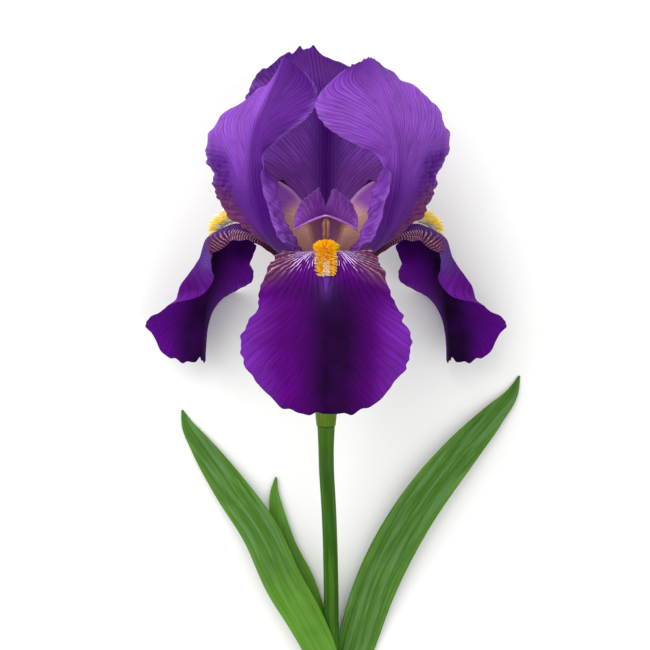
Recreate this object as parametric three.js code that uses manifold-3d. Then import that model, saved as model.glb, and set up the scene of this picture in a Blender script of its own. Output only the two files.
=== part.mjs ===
// Bearded iris: one bloom on a short cut stem with three leaves, laid on its back.
// Millimetres, +Z up. +Y runs from the cut end of the stem toward the top of the bloom.
// Rows of numbers run along a petal or leaf, and smooth curves pass through them.
import * as THREE from 'three';
import { mergeVertices } from 'three/addons/utils/BufferGeometryUtils.js';
import Module from 'manifold-3d';

const wasm = await Module();
wasm.setup();

// Driving dimensions: how the bloom lies
const HEAD_TILT = 10;
const HEAD_AT = [0.4, 27.6, 53.8];
const FLOOR_SIZE = 500;

// Driving dimensions: thickness of the living tissue and the gap between touching pieces
const TEPAL_THICK = 0.7;
const STYLE_THICK = 0.8;
const LEAF_THICK = 0.8;
const GAP = 0.3;

// Driving dimensions: heights on the bloom's own axis, 0 where the falls cross their hafts
const OVARY_FOOT = -69;
const CLAW_FOOT = -17.45;

// Triangles: how many steps each kind of surface takes along and across
const TEPAL_STEPS = [22, 14];
const ARM_STEPS = [10, 8];
const CREST_STEPS = [2, 16];
const LEAF_STEPS = [22, 4];

// Falls: the midrib's distance out from the axis and its height, then for each half its width,
// the crease at the midrib, the even turn and the fold halfway out. "near" is the half on +x.
const FRONT_TURN = [30, 20, 15, 12, -12, -14, -25, -25, -12, 0, 5, 5];
const FALL_FRONT = {
  out: [4.8, 12, 20, 28, 36, 44, 50, 53.5, 56, 58, 58.5, 58],
  up: [CLAW_FOOT, -9.5, -2, 4.5, 6.8, 3, -5, -15, -26, -37, -46, -52],
  far: { half: [2.6, 7, 12, 16.8, 20, 21.8, 26.4, 29.3, 32.5, 29.6, 27.5, 26], turn: FRONT_TURN },
  near: { half: [2.6, 7, 12, 16.8, 20, 21.2, 25.2, 30.6, 32.2, 29.6, 27.5, 26], turn: FRONT_TURN },
  tip: { drop: 0.172, power: 3.6, notch: 0.008 },
  ruffle: 1.2,
};
const FALL_SIDE = {
  out: [4.8, 12, 21, 31, 40, 47, 51.5, 54.5, 57.3, 59, 60.2, 60.4],
  up: [CLAW_FOOT, -9.6, 0.4, 7.8, 10.5, 7.5, -2.4, -14, -26, -37, -45, -49.5],
  far: { half: [2.6, 7, 10, 11, 12, 16, 15.5, 19.5, 25, 20.5, 17, 14],
    crease: [0, 0, 0, 0, 0, -3, -30, -18, 3, 2, -5, -8],
    turn: [30, 20, -30, -60, -78, -80, -62, -22, 28, 90, 95, 85] },
  near: { half: [2.6, 7, 10, 12, 14, 24, 25, 28.5, 19, 24.5, 22.5, 20],
    crease: [0, 0, 0, 0, 5, 5, 0, 16, 50, 74, 74, 68],
    turn: [30, 20, 12, -25, -75, -40, -10, -10, -20, -8, -5, 0],
    fold: [0, 0, 0, 0, 0, -30, -60, -128, -20, 0, 0, 0] },
  tip: { drop: 0.1, power: 4, notch: 0.03 },
  ruffle: 0.8,
};

// Standards: the same rows for the three upright petals. The near halves of the two front ones
// fold back low down, beside the style.
const STANDARD_OUT = [3.3, 9.5, 18, 26.5, 31, 33, 32.8, 31.5, 27, 22, 19];
const STANDARD_UP = [CLAW_FOOT, -8.5, 0, 10, 22, 34, 41, 50, 63, 73, 79];
const OUTER_BEND = {
  crease: [0, 0, 0, -15, -14, -12, -13, -15, -15, -5, 0],
  turn: [20, 25, 30, 15, 10, 12, 13, 15, 15, 10, 10],
};
const INNER_BEND = {
  crease: [0, 0, 10, 35, 50, 45, 10, 8, 10, 8, 5],
  turn: [20, 25, 20, 0, 0, 0, 45, 45, 45, 45, 45],
  fold: [0, 0, -30, -110, -150, -150, 0, 0, 0, 0, 0],
};
const STANDARD_LEFT = {
  out: STANDARD_OUT,
  up: STANDARD_UP,
  far: { half: [1.6, 5, 7.5, 9, 26.5, 28.5, 32, 31, 9, 2, 1.5], ...OUTER_BEND },
  near: { half: [1.6, 7.5, 15, 17, 15.5, 14, 5, 11.5, 21.5, 19, 6], ...INNER_BEND },
  tip: { drop: 0.03, power: 2 },
  ruffle: 1.2,
};
const STANDARD_RIGHT = {
  out: STANDARD_OUT,
  up: STANDARD_UP,
  far: { half: [1.6, 5, 7.5, 9, 25.5, 27.5, 34.5, 36, 23, 15, 7], ...OUTER_BEND },
  near: { half: [1.6, 7.5, 15, 17, 15.5, 14, 9, 21, 31, 26, 7], ...INNER_BEND },
  tip: { drop: 0.02, power: 2 },
  ruffle: 1.2,
};
const STANDARD_BACK = {
  out: [3.3, 9.5, 18, 26.5, 31, 33, 31.5, 27, 21, 17],
  up: [CLAW_FOOT, -8.5, 0, 10, 22, 36, 50, 63, 74, 81.5],
  sway: [0, 0, 0, 0, 0, 0, 0, 2, 4, 5],
  far: { half: [1.6, 5, 10, 17, 28, 34, 36, 35, 27, 15],
    turn: [20, 25, 30, 30, 25, 20, 20, 20, 20, 20] },
  near: { half: [1.6, 5, 10, 17, 28, 34, 34, 30, 22.5, 15],
    turn: [20, 25, 30, 30, 25, 20, 20, 15, 10, 10] },
  tip: { drop: 0.085, power: 3, step: 0.05 },
  ruffle: 1.2,
};

// A fold lies between these shares of a half's width, and a section is summed up in small steps
const FOLD_SPAN = [0.5, 0.75];
const SECTION_STEPS = 24;

// Ruffles: waves along each margin, their phase, and how fast they fade toward the midrib
const RUFFLE_WAVES = { near: [4.5, 0.3], far: [4.2, 1.8] };
const RUFFLE_FADE = 3;
const RUFFLE_START = [[0, 0], [0.25, 0.35], [0.45, 1], [1, 1]];

// Style: three petal-like arms over the falls, each ending in a two-lobed crest
const ARM_HALF = [2, 5, 8, 10.5, 12.5, 14, 14.5];
const ARM_CREASE = [0, -5, -10, -10, -10, -14, -23];
const ARM_TURN = [-40, -50, -55, -60, -55, -40, -10];
const ARM_FRONT = {
  out: [2.4, 4.5, 7, 11, 16, 20.5, 23.5],
  up: [-8, 2, 11, 18, 20.5, 20.5, 19],
};
const ARM_SIDE = {
  out: [2.4, 4.5, 7, 11, 16, 20, 23],
  up: [-8, 2.5, 11.5, 20, 25, 27.5, 29],
};
const CREST_ROOT = 0.94;
const CREST_SINK = 0.8;
const CREST_LEAN = 1.4;
const CREST_HEIGHT = [[0, 3], [0.21, 10.8], [0.5, 9.4], [0.8, 8.4], [1, 4.6]];
const SIDE_CREST = 0.35;
const COLUMN = [[0, -17.7], [2.3, -17.7], [2, -12], [2.4, -6], [2.6, -2], [0, 0]];
const COLUMN_SIDES = 10;

// Stamens: under each arm, a filament from the foot of the fall and a long anther
const FILAMENT = {
  line: [[3.45, -17.4], [6, -9], [9.5, 0], [13.5, 6], [16, 8.8]],
  radius: [0.75, 0.7, 0.65, 0.6, 0.5],
  steps: 7,
};
const ANTHER = {
  line: [[15.9, 8.2], [16.6, 9.4], [18.4, 13], [20.1, 16.8], [20.4, 17.6]],
  radius: [0.4, 1.1, 1.25, 1, 0.4],
  steps: 6,
};
const STAMEN_SIDES = 6;

// Beard: a fleshy ridge down the middle of each fall, set with short thick hairs. It narrows
// by a share over its last part. The hairs lean more toward the blade the farther out they stand.
const BEARD_SPAN = [0.16, 0.5];
const BEARD_HALF = 4;
const BEARD_NARROWING = 0.45;
const BEARD_NARROW_SPAN = [0.55, 1.05];
const BEARD_RIDGE = 0.9;
const BEARD_STEPS = [12, 4];
const BEARD_HAIRS = 50;
const HAIR_SIDES = 3;
const HAIR_RADIUS = 0.5;
const HAIR_LENGTH = [3.4, 6.2];
const HAIR_SPREAD = 0.85;
const HAIR_MARGIN = 0.03;
const HAIR_LEAN = [0.15, 0.65];
const HAIR_ROOT_DEPTH = 0.4;

// Tube and ovary: radius at each height, from the cup at the stem to the open rim
const OVARY_RIM = -18;
const OVARY = [[0, OVARY_FOOT], [3.9, OVARY_FOOT], [4.6, -62], [5.3, -55], [4.9, -47], [3.6, -40],
  [3.2, -31], [3.9, -23], [5.3, OVARY_RIM], [0, OVARY_RIM]];
const OVARY_SIDES = 18;

// Stem: points down to the cut end, and the radius at each
const STEM_ON_AXIS = [OVARY_FOOT - GAP, -76];
const STEM_BELOW = [[0.6, -59.3, 31], [1.5, -75.3, 22.5], [2.1, -91.1, 14.5], [2.5, -110.4, 8.2],
  [2.7, -131.9, 5.6], [3.2, -151.7, 4.8]];
const STEM_RADIUS = [3.55, 3.25, 3.1, 3.05, 3.05, 3.1, 3.15, 3.2];
const STEM_STEPS = 20;
const STEM_SIDES = 14;

// Leaves: points from the tip to the cut end, with the half-width and the turn of each half
const LEAF_LEFT = {
  line: [[-60.3, -35.9, 0.35], [-58.2, -41.7, 1.1], [-52.2, -50.9, 2.8], [-39.9, -68.4, 6],
    [-27.6, -85.8, 9.5], [-16.3, -109.1, 13.2], [-8.8, -122, 12.9], [-2.1, -135.8, 11.2], [2.5, -151, 9.3]],
  half: [0.4, 2.4, 4.6, 7.1, 7.9, 8.2, 7.9, 7, 5.5],
  turn: [0, -5, -10, -15, -15, -20, -30, -30, -20],
};
const LEAF_RIGHT = {
  line: [[82, -21.5, 0.35], [79.2, -28.3, 1.3], [70.3, -38.7, 3.1], [59.3, -50.8, 4.5], [36.5, -80.2, 6],
    [21.2, -109.7, 4.4], [13.8, -132.7, 2.1], [9.4, -152.2, 0.3]],
  half: [0.4, 2.4, 5, 7, 8.9, 9, 8, 5.5],
  turn: [0, 5, 8, 10, 10, 6, 0, 0],
};
const LEAF_SMALL = {
  line: [[-20.6, -64.1, 1.4], [-21.3, -69.5, 1.9], [-20.2, -79.5, 2.8], [-16.8, -92.5, 3.8],
    [-10.5, -109.3, 3.6], [-5.1, -124, 2.4], [-1.7, -136.9, 1.4], [-0.5, -152, 0.7]],
  half: [0.4, 1.6, 3.3, 4.6, 6.5, 5.6, 3.6, 2],
  turn: [0, 0, 0, 0, 0, 0, 0, 0],
};

// Colours, roughness
const FALL_LOOK = { color: 0x2e0a55, roughness: 0.85 };
const STANDARD_LOOK = { color: 0x6a2ea6, roughness: 0.7 };
const STYLE_LOOK = { color: 0x9a63c4, roughness: 0.6 };
const STAMEN_LOOK = { color: 0xd9c49a, roughness: 0.8 };
const BEARD_LOOK = { color: 0xf0a512, roughness: 0.9 };
const OVARY_LOOK = { color: 0x7fa04a, roughness: 0.6 };
const STEM_LOOK = { color: 0x3f7a2c, roughness: 0.55 };
const LEAF_LOOK = { color: 0x4f9033, roughness: 0.5 };

// Points nearer than this are one point
const WELD = 1e-4;

const radians = (degrees) => degrees * Math.PI / 180;

// A smooth curve through values at rising stations: q gives the value and the slope there
function smoothRow(stations, values) {
  const steps = stations.slice(1).map((s, k) => s - stations[k]);
  const chords = steps.map((step, k) => (values[k + 1] - values[k]) / step);
  const slopes = values.map((_, k) => {
    if (k === 0) return chords[0];
    if (k === values.length - 1) return chords[k - 1];
    return (chords[k - 1] * steps[k] + chords[k] * steps[k - 1]) / (steps[k] + steps[k - 1]);
  });
  return (q) => {
    let k = 0;
    while (k < steps.length - 1 && q >= stations[k + 1]) k += 1;
    const s = (q - stations[k]) / steps[k];
    const [a, b] = [values[k], values[k + 1]];
    const [ma, mb] = [slopes[k] * steps[k], slopes[k + 1] * steps[k]];
    const value = a * (1 + 2 * s) * (1 - s) ** 2 + b * s * s * (3 - 2 * s)
      + ma * s * (1 - s) ** 2 + mb * s * s * (s - 1);
    const slope = ((b - a) * 6 * s * (1 - s) + ma * (1 - s) * (1 - 3 * s) + mb * s * (3 * s - 2)) / steps[k];
    return [value, slope];
  };
}

// Straight lines between [station, value] pairs
function straightRow(pairs, q) {
  let k = 0;
  while (k < pairs.length - 2 && q > pairs[k + 1][0]) k += 1;
  const [[q0, v0], [q1, v1]] = [pairs[k], pairs[k + 1]];
  return v0 + (v1 - v0) * Math.min(1, Math.max(0, (q - q0) / (q1 - q0)));
}

// Share of the whole length at each point of a line
function lengthStations(points) {
  const sums = [0];
  for (let k = 1; k < points.length; k += 1) {
    const step = Math.hypot(...points[k].map((c, i) => c - points[k - 1][i]));
    sums.push(sums[k - 1] + step);
  }
  return sums.map((s) => s / sums[sums.length - 1]);
}

// Where a half-section of unit width, turned by crease at the midrib, bending by turn all the way
// and by fold within its span, has come to at the share a of its width
function bentSection(crease, turn, fold, a) {
  const angleAt = (share) => crease + turn * share + fold * THREE.MathUtils.smoothstep(share, ...FOLD_SPAN);
  let [across, rise] = [0, 0];
  for (let k = 0; k < SECTION_STEPS; k += 1) {
    const angle = angleAt(a * (k + 0.5) / SECTION_STEPS);
    across += a * Math.cos(angle) / SECTION_STEPS;
    rise += a * Math.sin(angle) / SECTION_STEPS;
  }
  return { across, rise, angle: angleAt(a) };
}

// How far along the midrib a petal reaches at v, which rounds, notches or steps its tip
function tipReach(tip, v) {
  const { drop, power, notch = 0, step = 0 } = tip;
  const notchWidth = 0.06;
  const [stepAt, stepWidth] = [-0.17, 0.03];
  return 1 - drop * Math.abs(v) ** power - notch * Math.exp(-((v / notchWidth) ** 2))
    - step / (1 + Math.exp((v - stepAt) / stepWidth));
}

// A petal's middle surface in its own frame: x across, y up the bloom, z out from the axis.
// u runs from foot to tip and v from margin to margin.
function petalSurface(petal) {
  const stations = lengthStations(petal.out.map((o, k) => [o, petal.up[k]]));
  const none = petal.out.map(() => 0);
  const row = (values) => smoothRow(stations, values ?? none);
  const [out, up, sway] = [row(petal.out), row(petal.up), row(petal.sway)];
  const halves = ['far', 'near'].map((side) => ({
    half: row(petal[side].half),
    crease: row(petal[side].crease),
    turn: row(petal[side].turn),
    fold: row(petal[side].fold),
    waves: RUFFLE_WAVES[side],
  }));
  return (u, v) => {
    const q = u * (1 - (1 - tipReach(petal.tip, v)) * u * u);
    const { half, crease, turn, fold, waves } = halves[v > 0 ? 1 : 0];
    const a = Math.abs(v);
    const width = half(q)[0];
    const section = bentSection(...[crease, turn, fold].map((bend) => radians(bend(q)[0])), a);
    const wave = Math.sin(2 * Math.PI * waves[0] * q + waves[1]) * straightRow(RUFFLE_START, q);
    const lift = petal.ruffle * a ** RUFFLE_FADE * wave;
    const across = (section.across * width - Math.sin(section.angle) * lift) * Math.sign(v) + sway(q)[0];
    const rise = section.rise * width + Math.cos(section.angle) * lift;
    const [[o, slopeOut], [h, slopeUp]] = [out(q), up(q)];
    const slope = Math.hypot(slopeOut, slopeUp);
    return new THREE.Vector3(across, h + rise * slopeOut / slope, o - rise * slopeUp / slope);
  };
}

// Points of a surface over a span of u and v
function surfaceGrid(surface, [stepsU, stepsV], [u0, u1] = [0, 1], [v0, v1] = [-1, 1]) {
  const grid = [];
  for (let i = 0; i <= stepsU; i += 1) {
    const row = [];
    for (let j = 0; j <= stepsV; j += 1) {
      row.push(surface(u0 + (u1 - u0) * i / stepsU, v0 + (v1 - v0) * j / stepsV));
    }
    grid.push(row);
  }
  return grid;
}

// Unit normals of a grid, u crossed with v
function gridNormals(grid) {
  const lastU = grid.length - 1;
  const lastV = grid[0].length - 1;
  return grid.map((row, i) => row.map((_, j) => {
    const along = grid[Math.min(i + 1, lastU)][j].clone().sub(grid[Math.max(i - 1, 0)][j]);
    const across = row[Math.min(j + 1, lastV)].clone().sub(row[Math.max(j - 1, 0)]);
    return along.cross(across).normalize();
  }));
}

// A closed sheet on a grid, from the offset below to the offset above along its normals
function sheet(grid, below, above) {
  const normals = gridNormals(grid);
  const [rows, columns] = [grid.length, grid[0].length];
  const positions = [];
  for (const offset of [above, below]) {
    grid.forEach((row, i) => row.forEach((point, j) => {
      positions.push(...point.clone().addScaledVector(normals[i][j], offset).toArray());
    }));
  }
  const at = (i, j, side) => side * rows * columns + i * columns + j;
  const indices = [];
  const quad = (a, b, c, d) => indices.push(a, b, c, a, c, d);
  for (let i = 0; i < rows - 1; i += 1) {
    for (let j = 0; j < columns - 1; j += 1) {
      quad(at(i, j, 0), at(i + 1, j, 0), at(i + 1, j + 1, 0), at(i, j + 1, 0));
      const [a, b, c, d] = [at(i, j, 1), at(i + 1, j, 1), at(i + 1, j + 1, 1), at(i, j + 1, 1)];
      indices.push(a, c, b, a, d, c);
    }
    quad(at(i, 0, 1), at(i + 1, 0, 1), at(i + 1, 0, 0), at(i, 0, 0));
    quad(at(i, columns - 1, 0), at(i + 1, columns - 1, 0), at(i + 1, columns - 1, 1), at(i, columns - 1, 1));
  }
  for (let j = 0; j < columns - 1; j += 1) {
    quad(at(0, j, 0), at(0, j + 1, 0), at(0, j + 1, 1), at(0, j, 1));
    quad(at(rows - 1, j, 1), at(rows - 1, j + 1, 1), at(rows - 1, j + 1, 0), at(rows - 1, j, 0));
  }
  return indexedGeometry(positions, indices);
}

// A closed limb of round section along a line of points
function limb(points, radii, steps, sides) {
  const stations = lengthStations(points);
  const axes = [0, 1, 2].map((i) => smoothRow(stations, points.map((p) => p[i])));
  const radius = smoothRow(stations, radii);
  const positions = [];
  const indices = [];
  for (let i = 0; i <= steps; i += 1) {
    const q = i / steps;
    const centre = new THREE.Vector3(...axes.map((axis) => axis(q)[0]));
    const along = new THREE.Vector3(...axes.map((axis) => axis(q)[1])).normalize();
    const side = new THREE.Vector3(1, 0, 0).addScaledVector(along, -along.x).normalize();
    const rise = along.clone().cross(side);
    for (let j = 0; j < sides; j += 1) {
      const angle = 2 * Math.PI * j / sides;
      const spoke = side.clone().multiplyScalar(Math.cos(angle)).addScaledVector(rise, Math.sin(angle));
      positions.push(...centre.clone().addScaledVector(spoke, radius(q)[0]).toArray());
    }
  }
  for (let i = 0; i < steps; i += 1) {
    for (let j = 0; j < sides; j += 1) {
      const k = (j + 1) % sides;
      indices.push(i * sides + j, i * sides + k, (i + 1) * sides + k);
      indices.push(i * sides + j, (i + 1) * sides + k, (i + 1) * sides + j);
    }
  }
  for (let j = 1; j < sides - 1; j += 1) {
    indices.push(0, j + 1, j);
    indices.push(steps * sides, steps * sides + j, steps * sides + j + 1);
  }
  return indexedGeometry(positions, indices);
}

function indexedGeometry(positions, indices) {
  const geometry = new THREE.BufferGeometry();
  geometry.setAttribute('position', new THREE.Float32BufferAttribute(positions, 3));
  geometry.setIndex(indices);
  return geometry;
}

// A three.js geometry as a solid that can be joined and cut
function toSolid(geometry) {
  const bare = geometry.clone();
  bare.deleteAttribute('normal');
  bare.deleteAttribute('uv');
  const merged = mergeVertices(bare, WELD);
  return new wasm.Manifold(new wasm.Mesh({
    numProp: 3,
    vertProperties: new Float32Array(merged.attributes.position.array),
    triVerts: new Uint32Array(merged.index.array),
  }));
}

function toGeometry(solid) {
  const mesh = solid.getMesh();
  return indexedGeometry(Array.from(mesh.vertProperties), Array.from(mesh.triVerts));
}

function joined(geometries) {
  return toGeometry(geometries.map(toSolid).reduce((whole, piece) => whole.add(piece)));
}

// The part of a geometry that lies above the surface, once it stands at the given place
function restingOnSurface(geometry, place) {
  const ground = new THREE.BoxGeometry(FLOOR_SIZE, FLOOR_SIZE, FLOOR_SIZE);
  ground.translate(0, 0, -FLOOR_SIZE / 2);
  ground.applyMatrix4(place.clone().invert());
  return toGeometry(toSolid(geometry).subtract(toSolid(ground)));
}

function namedMesh(name, geometry, look) {
  const material = new THREE.MeshStandardMaterial({ ...look, metalness: 0 });
  const mesh = new THREE.Mesh(geometry, material);
  mesh.name = name;
  return mesh;
}

// The middle surface of a leaf, cupped by its turn, level across
function leafSurface(leaf) {
  const stations = lengthStations(leaf.line);
  const axes = [0, 1, 2].map((i) => smoothRow(stations, leaf.line.map((p) => p[i])));
  const half = smoothRow(stations, leaf.half);
  const turn = smoothRow(stations, leaf.turn);
  return (u, v) => {
    const centre = new THREE.Vector3(...axes.map((axis) => axis(u)[0]));
    const along = new THREE.Vector3(...axes.map((axis) => axis(u)[1])).normalize();
    const side = along.clone().cross(new THREE.Vector3(0, 0, 1)).normalize();
    const rise = side.clone().cross(along);
    const section = bentSection(0, radians(turn(u)[0]), 0, Math.abs(v));
    const width = half(u)[0];
    return centre.addScaledVector(side, section.across * width * Math.sign(v))
      .addScaledVector(rise, section.rise * width);
  };
}

function leafGeometry(leaf) {
  return sheet(surfaceGrid(leafSurface(leaf), LEAF_STEPS), -LEAF_THICK / 2, LEAF_THICK / 2);
}

// One arm of the style with its crest, in the same frame as a petal
function styleArm(path, crestScale) {
  const halves = { half: ARM_HALF, crease: ARM_CREASE, turn: ARM_TURN };
  const arm = petalSurface({ ...path, far: halves, near: halves, tip: { drop: 0, power: 2 }, ruffle: 0 });
  const blade = sheet(surfaceGrid(arm, ARM_STEPS), -STYLE_THICK / 2, STYLE_THICK / 2);
  const crest = (t, v) => {
    const height = crestScale * straightRow(CREST_HEIGHT, Math.abs(v));
    const lean = CREST_LEAN * Math.sin(Math.PI * t) - t * t * Math.abs(v);
    return arm(CREST_ROOT, v).add(new THREE.Vector3(0, -CREST_SINK + (height + CREST_SINK) * t, lean));
  };
  return [blade, sheet(surfaceGrid(crest, CREST_STEPS), -STYLE_THICK / 2, STYLE_THICK / 2)];
}

function revolved(profile, sides) {
  return new THREE.LatheGeometry(profile.map(([r, h]) => new THREE.Vector2(r, h)), sides);
}

function turnedAbout(geometry, azimuth) {
  return geometry.rotateY(radians(azimuth));
}

// A stamen in its fall's frame: the filament and the anther on its tip, grown as one
function stamen() {
  return joined([FILAMENT, ANTHER].map(({ line, radius, steps }) => (
    limb(line.map(([out, up]) => [0, up, out]), radius, steps, STAMEN_SIDES))));
}

// A beard in its fall's frame: a ridge over the midrib with hairs that fan out from it
function beard(fall) {
  const surface = petalSurface(fall);
  const stations = lengthStations(fall.out.map((o, k) => [o, fall.up[k]]));
  const width = smoothRow(stations, fall.near.half);
  const [from, to] = BEARD_SPAN;
  const ridge = (u, s) => {
    const along = (u - from) / (to - from);
    const narrowed = 1 - BEARD_NARROWING * THREE.MathUtils.smoothstep(along, ...BEARD_NARROW_SPAN);
    return surface(u, s * BEARD_HALF * narrowed / width(u)[0]);
  };
  const lowest = TEPAL_THICK / 2 + GAP;
  const core = sheet(surfaceGrid(ridge, BEARD_STEPS, BEARD_SPAN), lowest, lowest + BEARD_RIDGE);
  const golden = (1 + Math.sqrt(5)) / 2;
  const [aroundU, aroundSide] = [0.004, 0.05];
  const hairs = [];
  for (let k = 0; k < BEARD_HAIRS; k += 1) {
    const along = (k + 0.5) / BEARD_HAIRS;
    const side = HAIR_SPREAD * (2 * ((k * golden) % 1) - 1);
    const u = from + (to - from) * (HAIR_MARGIN + (1 - 2 * HAIR_MARGIN) * along);
    const around = [[u - aroundU, u + aroundU], [side - aroundSide, side + aroundSide]];
    const patch = surfaceGrid(ridge, [2, 2], ...around);
    const normal = gridNormals(patch)[1][1];
    const forward = patch[2][1].clone().sub(patch[0][1]).normalize();
    const lean = HAIR_LEAN[0] + (HAIR_LEAN[1] - HAIR_LEAN[0]) * along;
    const aim = new THREE.Vector3(side, 0, 0).add(normal).addScaledVector(forward, lean).normalize();
    const swell = Math.sin(Math.PI * Math.min(1, along + 0.1)) * (1 - 0.3 * side * side);
    const length = HAIR_LENGTH[0] + (HAIR_LENGTH[1] - HAIR_LENGTH[0]) * swell;
    const hair = new THREE.ConeGeometry(HAIR_RADIUS, length, HAIR_SIDES, 1);
    hair.translate(0, length / 2, 0);
    hair.applyQuaternion(new THREE.Quaternion().setFromUnitVectors(new THREE.Vector3(0, 1, 0), aim));
    hair.translate(...patch[1][1].addScaledVector(normal, lowest + BEARD_RIDGE - HAIR_ROOT_DEPTH).toArray());
    hairs.push(hair);
  }
  return joined([core, ...hairs]);
}

// A petal's geometry, and its mirror image across its own midrib when mirrored is true
function petalGeometry(petal) {
  return sheet(surfaceGrid(petalSurface(petal), TEPAL_STEPS), -TEPAL_THICK / 2, TEPAL_THICK / 2);
}

function mirrored(geometry) {
  const copy = geometry.clone().scale(-1, 1, 1);
  const index = copy.index.array;
  for (let k = 0; k < index.length; k += 3) [index[k], index[k + 1]] = [index[k + 1], index[k]];
  return copy;
}

const flower = new THREE.Group();
const bloom = new THREE.Group();
bloom.position.set(...HEAD_AT);
bloom.rotation.x = radians(HEAD_TILT);
flower.add(bloom);

function placeOnBloom(mesh, azimuth) {
  mesh.rotation.y = radians(azimuth);
  bloom.add(mesh);
  flower.updateMatrixWorld(true);
}

// Falls with their beards and stamens, one set at each third of the turn
const FALLS = [
  { side: 'front', azimuth: 0, fall: FALL_FRONT },
  { side: 'left', azimuth: -120, fall: FALL_SIDE },
  { side: 'right', azimuth: 120, fall: FALL_SIDE, mirror: true },
];
for (const { side, azimuth, fall, mirror } of FALLS) {
  const handed = (geometry) => (mirror ? mirrored(geometry) : geometry);
  const blade = namedMesh(`fall_${side}`, handed(petalGeometry(fall)), FALL_LOOK);
  placeOnBloom(blade, azimuth);
  if (fall === FALL_SIDE) blade.geometry = restingOnSurface(blade.geometry, blade.matrixWorld);
  placeOnBloom(namedMesh(`beard_${side}`, handed(beard(fall)), BEARD_LOOK), azimuth);
  placeOnBloom(namedMesh(`stamen_${side}`, stamen(), STAMEN_LOOK), azimuth);
}

// Standards between the falls
const STANDARDS = [
  { side: 'left', azimuth: -60, standard: STANDARD_LEFT },
  { side: 'right', azimuth: 60, standard: STANDARD_RIGHT, mirror: true },
  { side: 'back', azimuth: 180, standard: STANDARD_BACK },
];
for (const { side, azimuth, standard, mirror } of STANDARDS) {
  const geometry = petalGeometry(standard);
  placeOnBloom(namedMesh(`standard_${side}`, mirror ? mirrored(geometry) : geometry, STANDARD_LOOK), azimuth);
}

// Style: column and arms grown as one
const arms = FALLS.flatMap(({ side, azimuth }) => {
  const arm = side === 'front' ? styleArm(ARM_FRONT, 1) : styleArm(ARM_SIDE, SIDE_CREST);
  return arm.map((piece) => turnedAbout(piece, azimuth));
});
placeOnBloom(namedMesh('style', joined([revolved(COLUMN, COLUMN_SIDES), ...arms]), STYLE_LOOK), 0);
placeOnBloom(namedMesh('ovary_and_tube', toGeometry(toSolid(revolved(OVARY, OVARY_SIDES))), OVARY_LOOK), 0);

// Stem from under the ovary down to the cut end
const onAxis = (height) => bloom.localToWorld(new THREE.Vector3(0, height, 0)).toArray();
const stemLine = [...STEM_ON_AXIS.map(onAxis), ...STEM_BELOW];
flower.add(namedMesh('stem', limb(stemLine, STEM_RADIUS, STEM_STEPS, STEM_SIDES), STEM_LOOK));

// Leaves
const LEAVES = { leaf_left: LEAF_LEFT, leaf_right: LEAF_RIGHT, leaf_small: LEAF_SMALL };
for (const [name, leaf] of Object.entries(LEAVES)) {
  flower.add(namedMesh(name, restingOnSurface(leafGeometry(leaf), new THREE.Matrix4()), LEAF_LOOK));
}

// The origin is the centre of the outline on the surface that the flower lies on
flower.updateMatrixWorld(true);
const bounds = new THREE.Box3().setFromObject(flower, true);
const centre = bounds.getCenter(new THREE.Vector3());
flower.position.set(-centre.x, -centre.y, -bounds.min.z);

export default flower;
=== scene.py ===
"""Bearded iris bloom on a short cut stem with three leaves, laid on its back.

The classes hold sizes in millimetres. A petal's own frame is x across, y up the bloom and z out
from its axis; the row frame is +Y up the flower and +Z up from the floor. Meshes are made in metres.
"""

import logging
import math
from dataclasses import dataclass, field
from enum import Enum
from typing import ClassVar, Sequence

import bpy
import numpy as np
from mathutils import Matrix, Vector, noise


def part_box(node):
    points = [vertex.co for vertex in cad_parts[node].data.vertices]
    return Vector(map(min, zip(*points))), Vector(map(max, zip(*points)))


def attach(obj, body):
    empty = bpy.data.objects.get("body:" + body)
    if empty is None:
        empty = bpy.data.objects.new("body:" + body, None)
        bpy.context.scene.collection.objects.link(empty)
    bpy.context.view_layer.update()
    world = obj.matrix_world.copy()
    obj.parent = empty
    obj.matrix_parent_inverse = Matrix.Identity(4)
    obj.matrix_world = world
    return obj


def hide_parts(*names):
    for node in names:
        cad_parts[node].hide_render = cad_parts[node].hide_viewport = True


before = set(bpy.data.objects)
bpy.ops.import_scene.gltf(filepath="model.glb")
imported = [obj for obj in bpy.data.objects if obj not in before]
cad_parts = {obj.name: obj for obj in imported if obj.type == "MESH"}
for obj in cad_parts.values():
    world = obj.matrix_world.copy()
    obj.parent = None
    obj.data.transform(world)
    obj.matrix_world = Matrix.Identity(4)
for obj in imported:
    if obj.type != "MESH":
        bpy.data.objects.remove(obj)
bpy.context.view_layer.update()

MM = 0.001
LOG = logging.getLogger("iris")
Row = Sequence[float]
Rgba = tuple[float, float, float, float]
NodeRow = tuple[object, ...]


class Slot(Enum):
    """The record's material slots."""

    FALL = "fall_velvet"
    STANDARD = "standard_petal"
    STYLE = "style_petal"
    BEARD = "beard_hair"
    STAMEN = "stamen_pollen"
    OVARY = "ovary_skin"
    STEM = "stem_skin"
    LEAF = "leaf_blade"


def linear(hex_colour: str) -> Rgba:
    """Turns an sRGB hex colour, such as "#5b0279", to linear red, green, blue and alpha."""
    channels = [int(hex_colour[k:k + 2], 16) / 255 for k in (1, 3, 5)]
    light = [c / 12.92 if c <= 0.04045 else ((c + 0.055) / 1.055) ** 2.4 for c in channels]
    return (light[0], light[1], light[2], 1.0)


def ease(x: np.ndarray, low: float | np.ndarray, high: float | np.ndarray) -> np.ndarray:
    """Rises smoothly from 0 where x is low to 1 where it is high."""
    t = np.clip((x - low) / (high - low), 0, 1)
    return t * t * (3 - 2 * t)


def plateau(x: np.ndarray, rise: float, top: float, end: float, fall: float) -> np.ndarray:
    """Rises smoothly from 0 at rise to 1 at top, and falls again from 1 at end to 0 at fall."""
    return ease(x, rise, top) * (1 - ease(x, end, fall))


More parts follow.
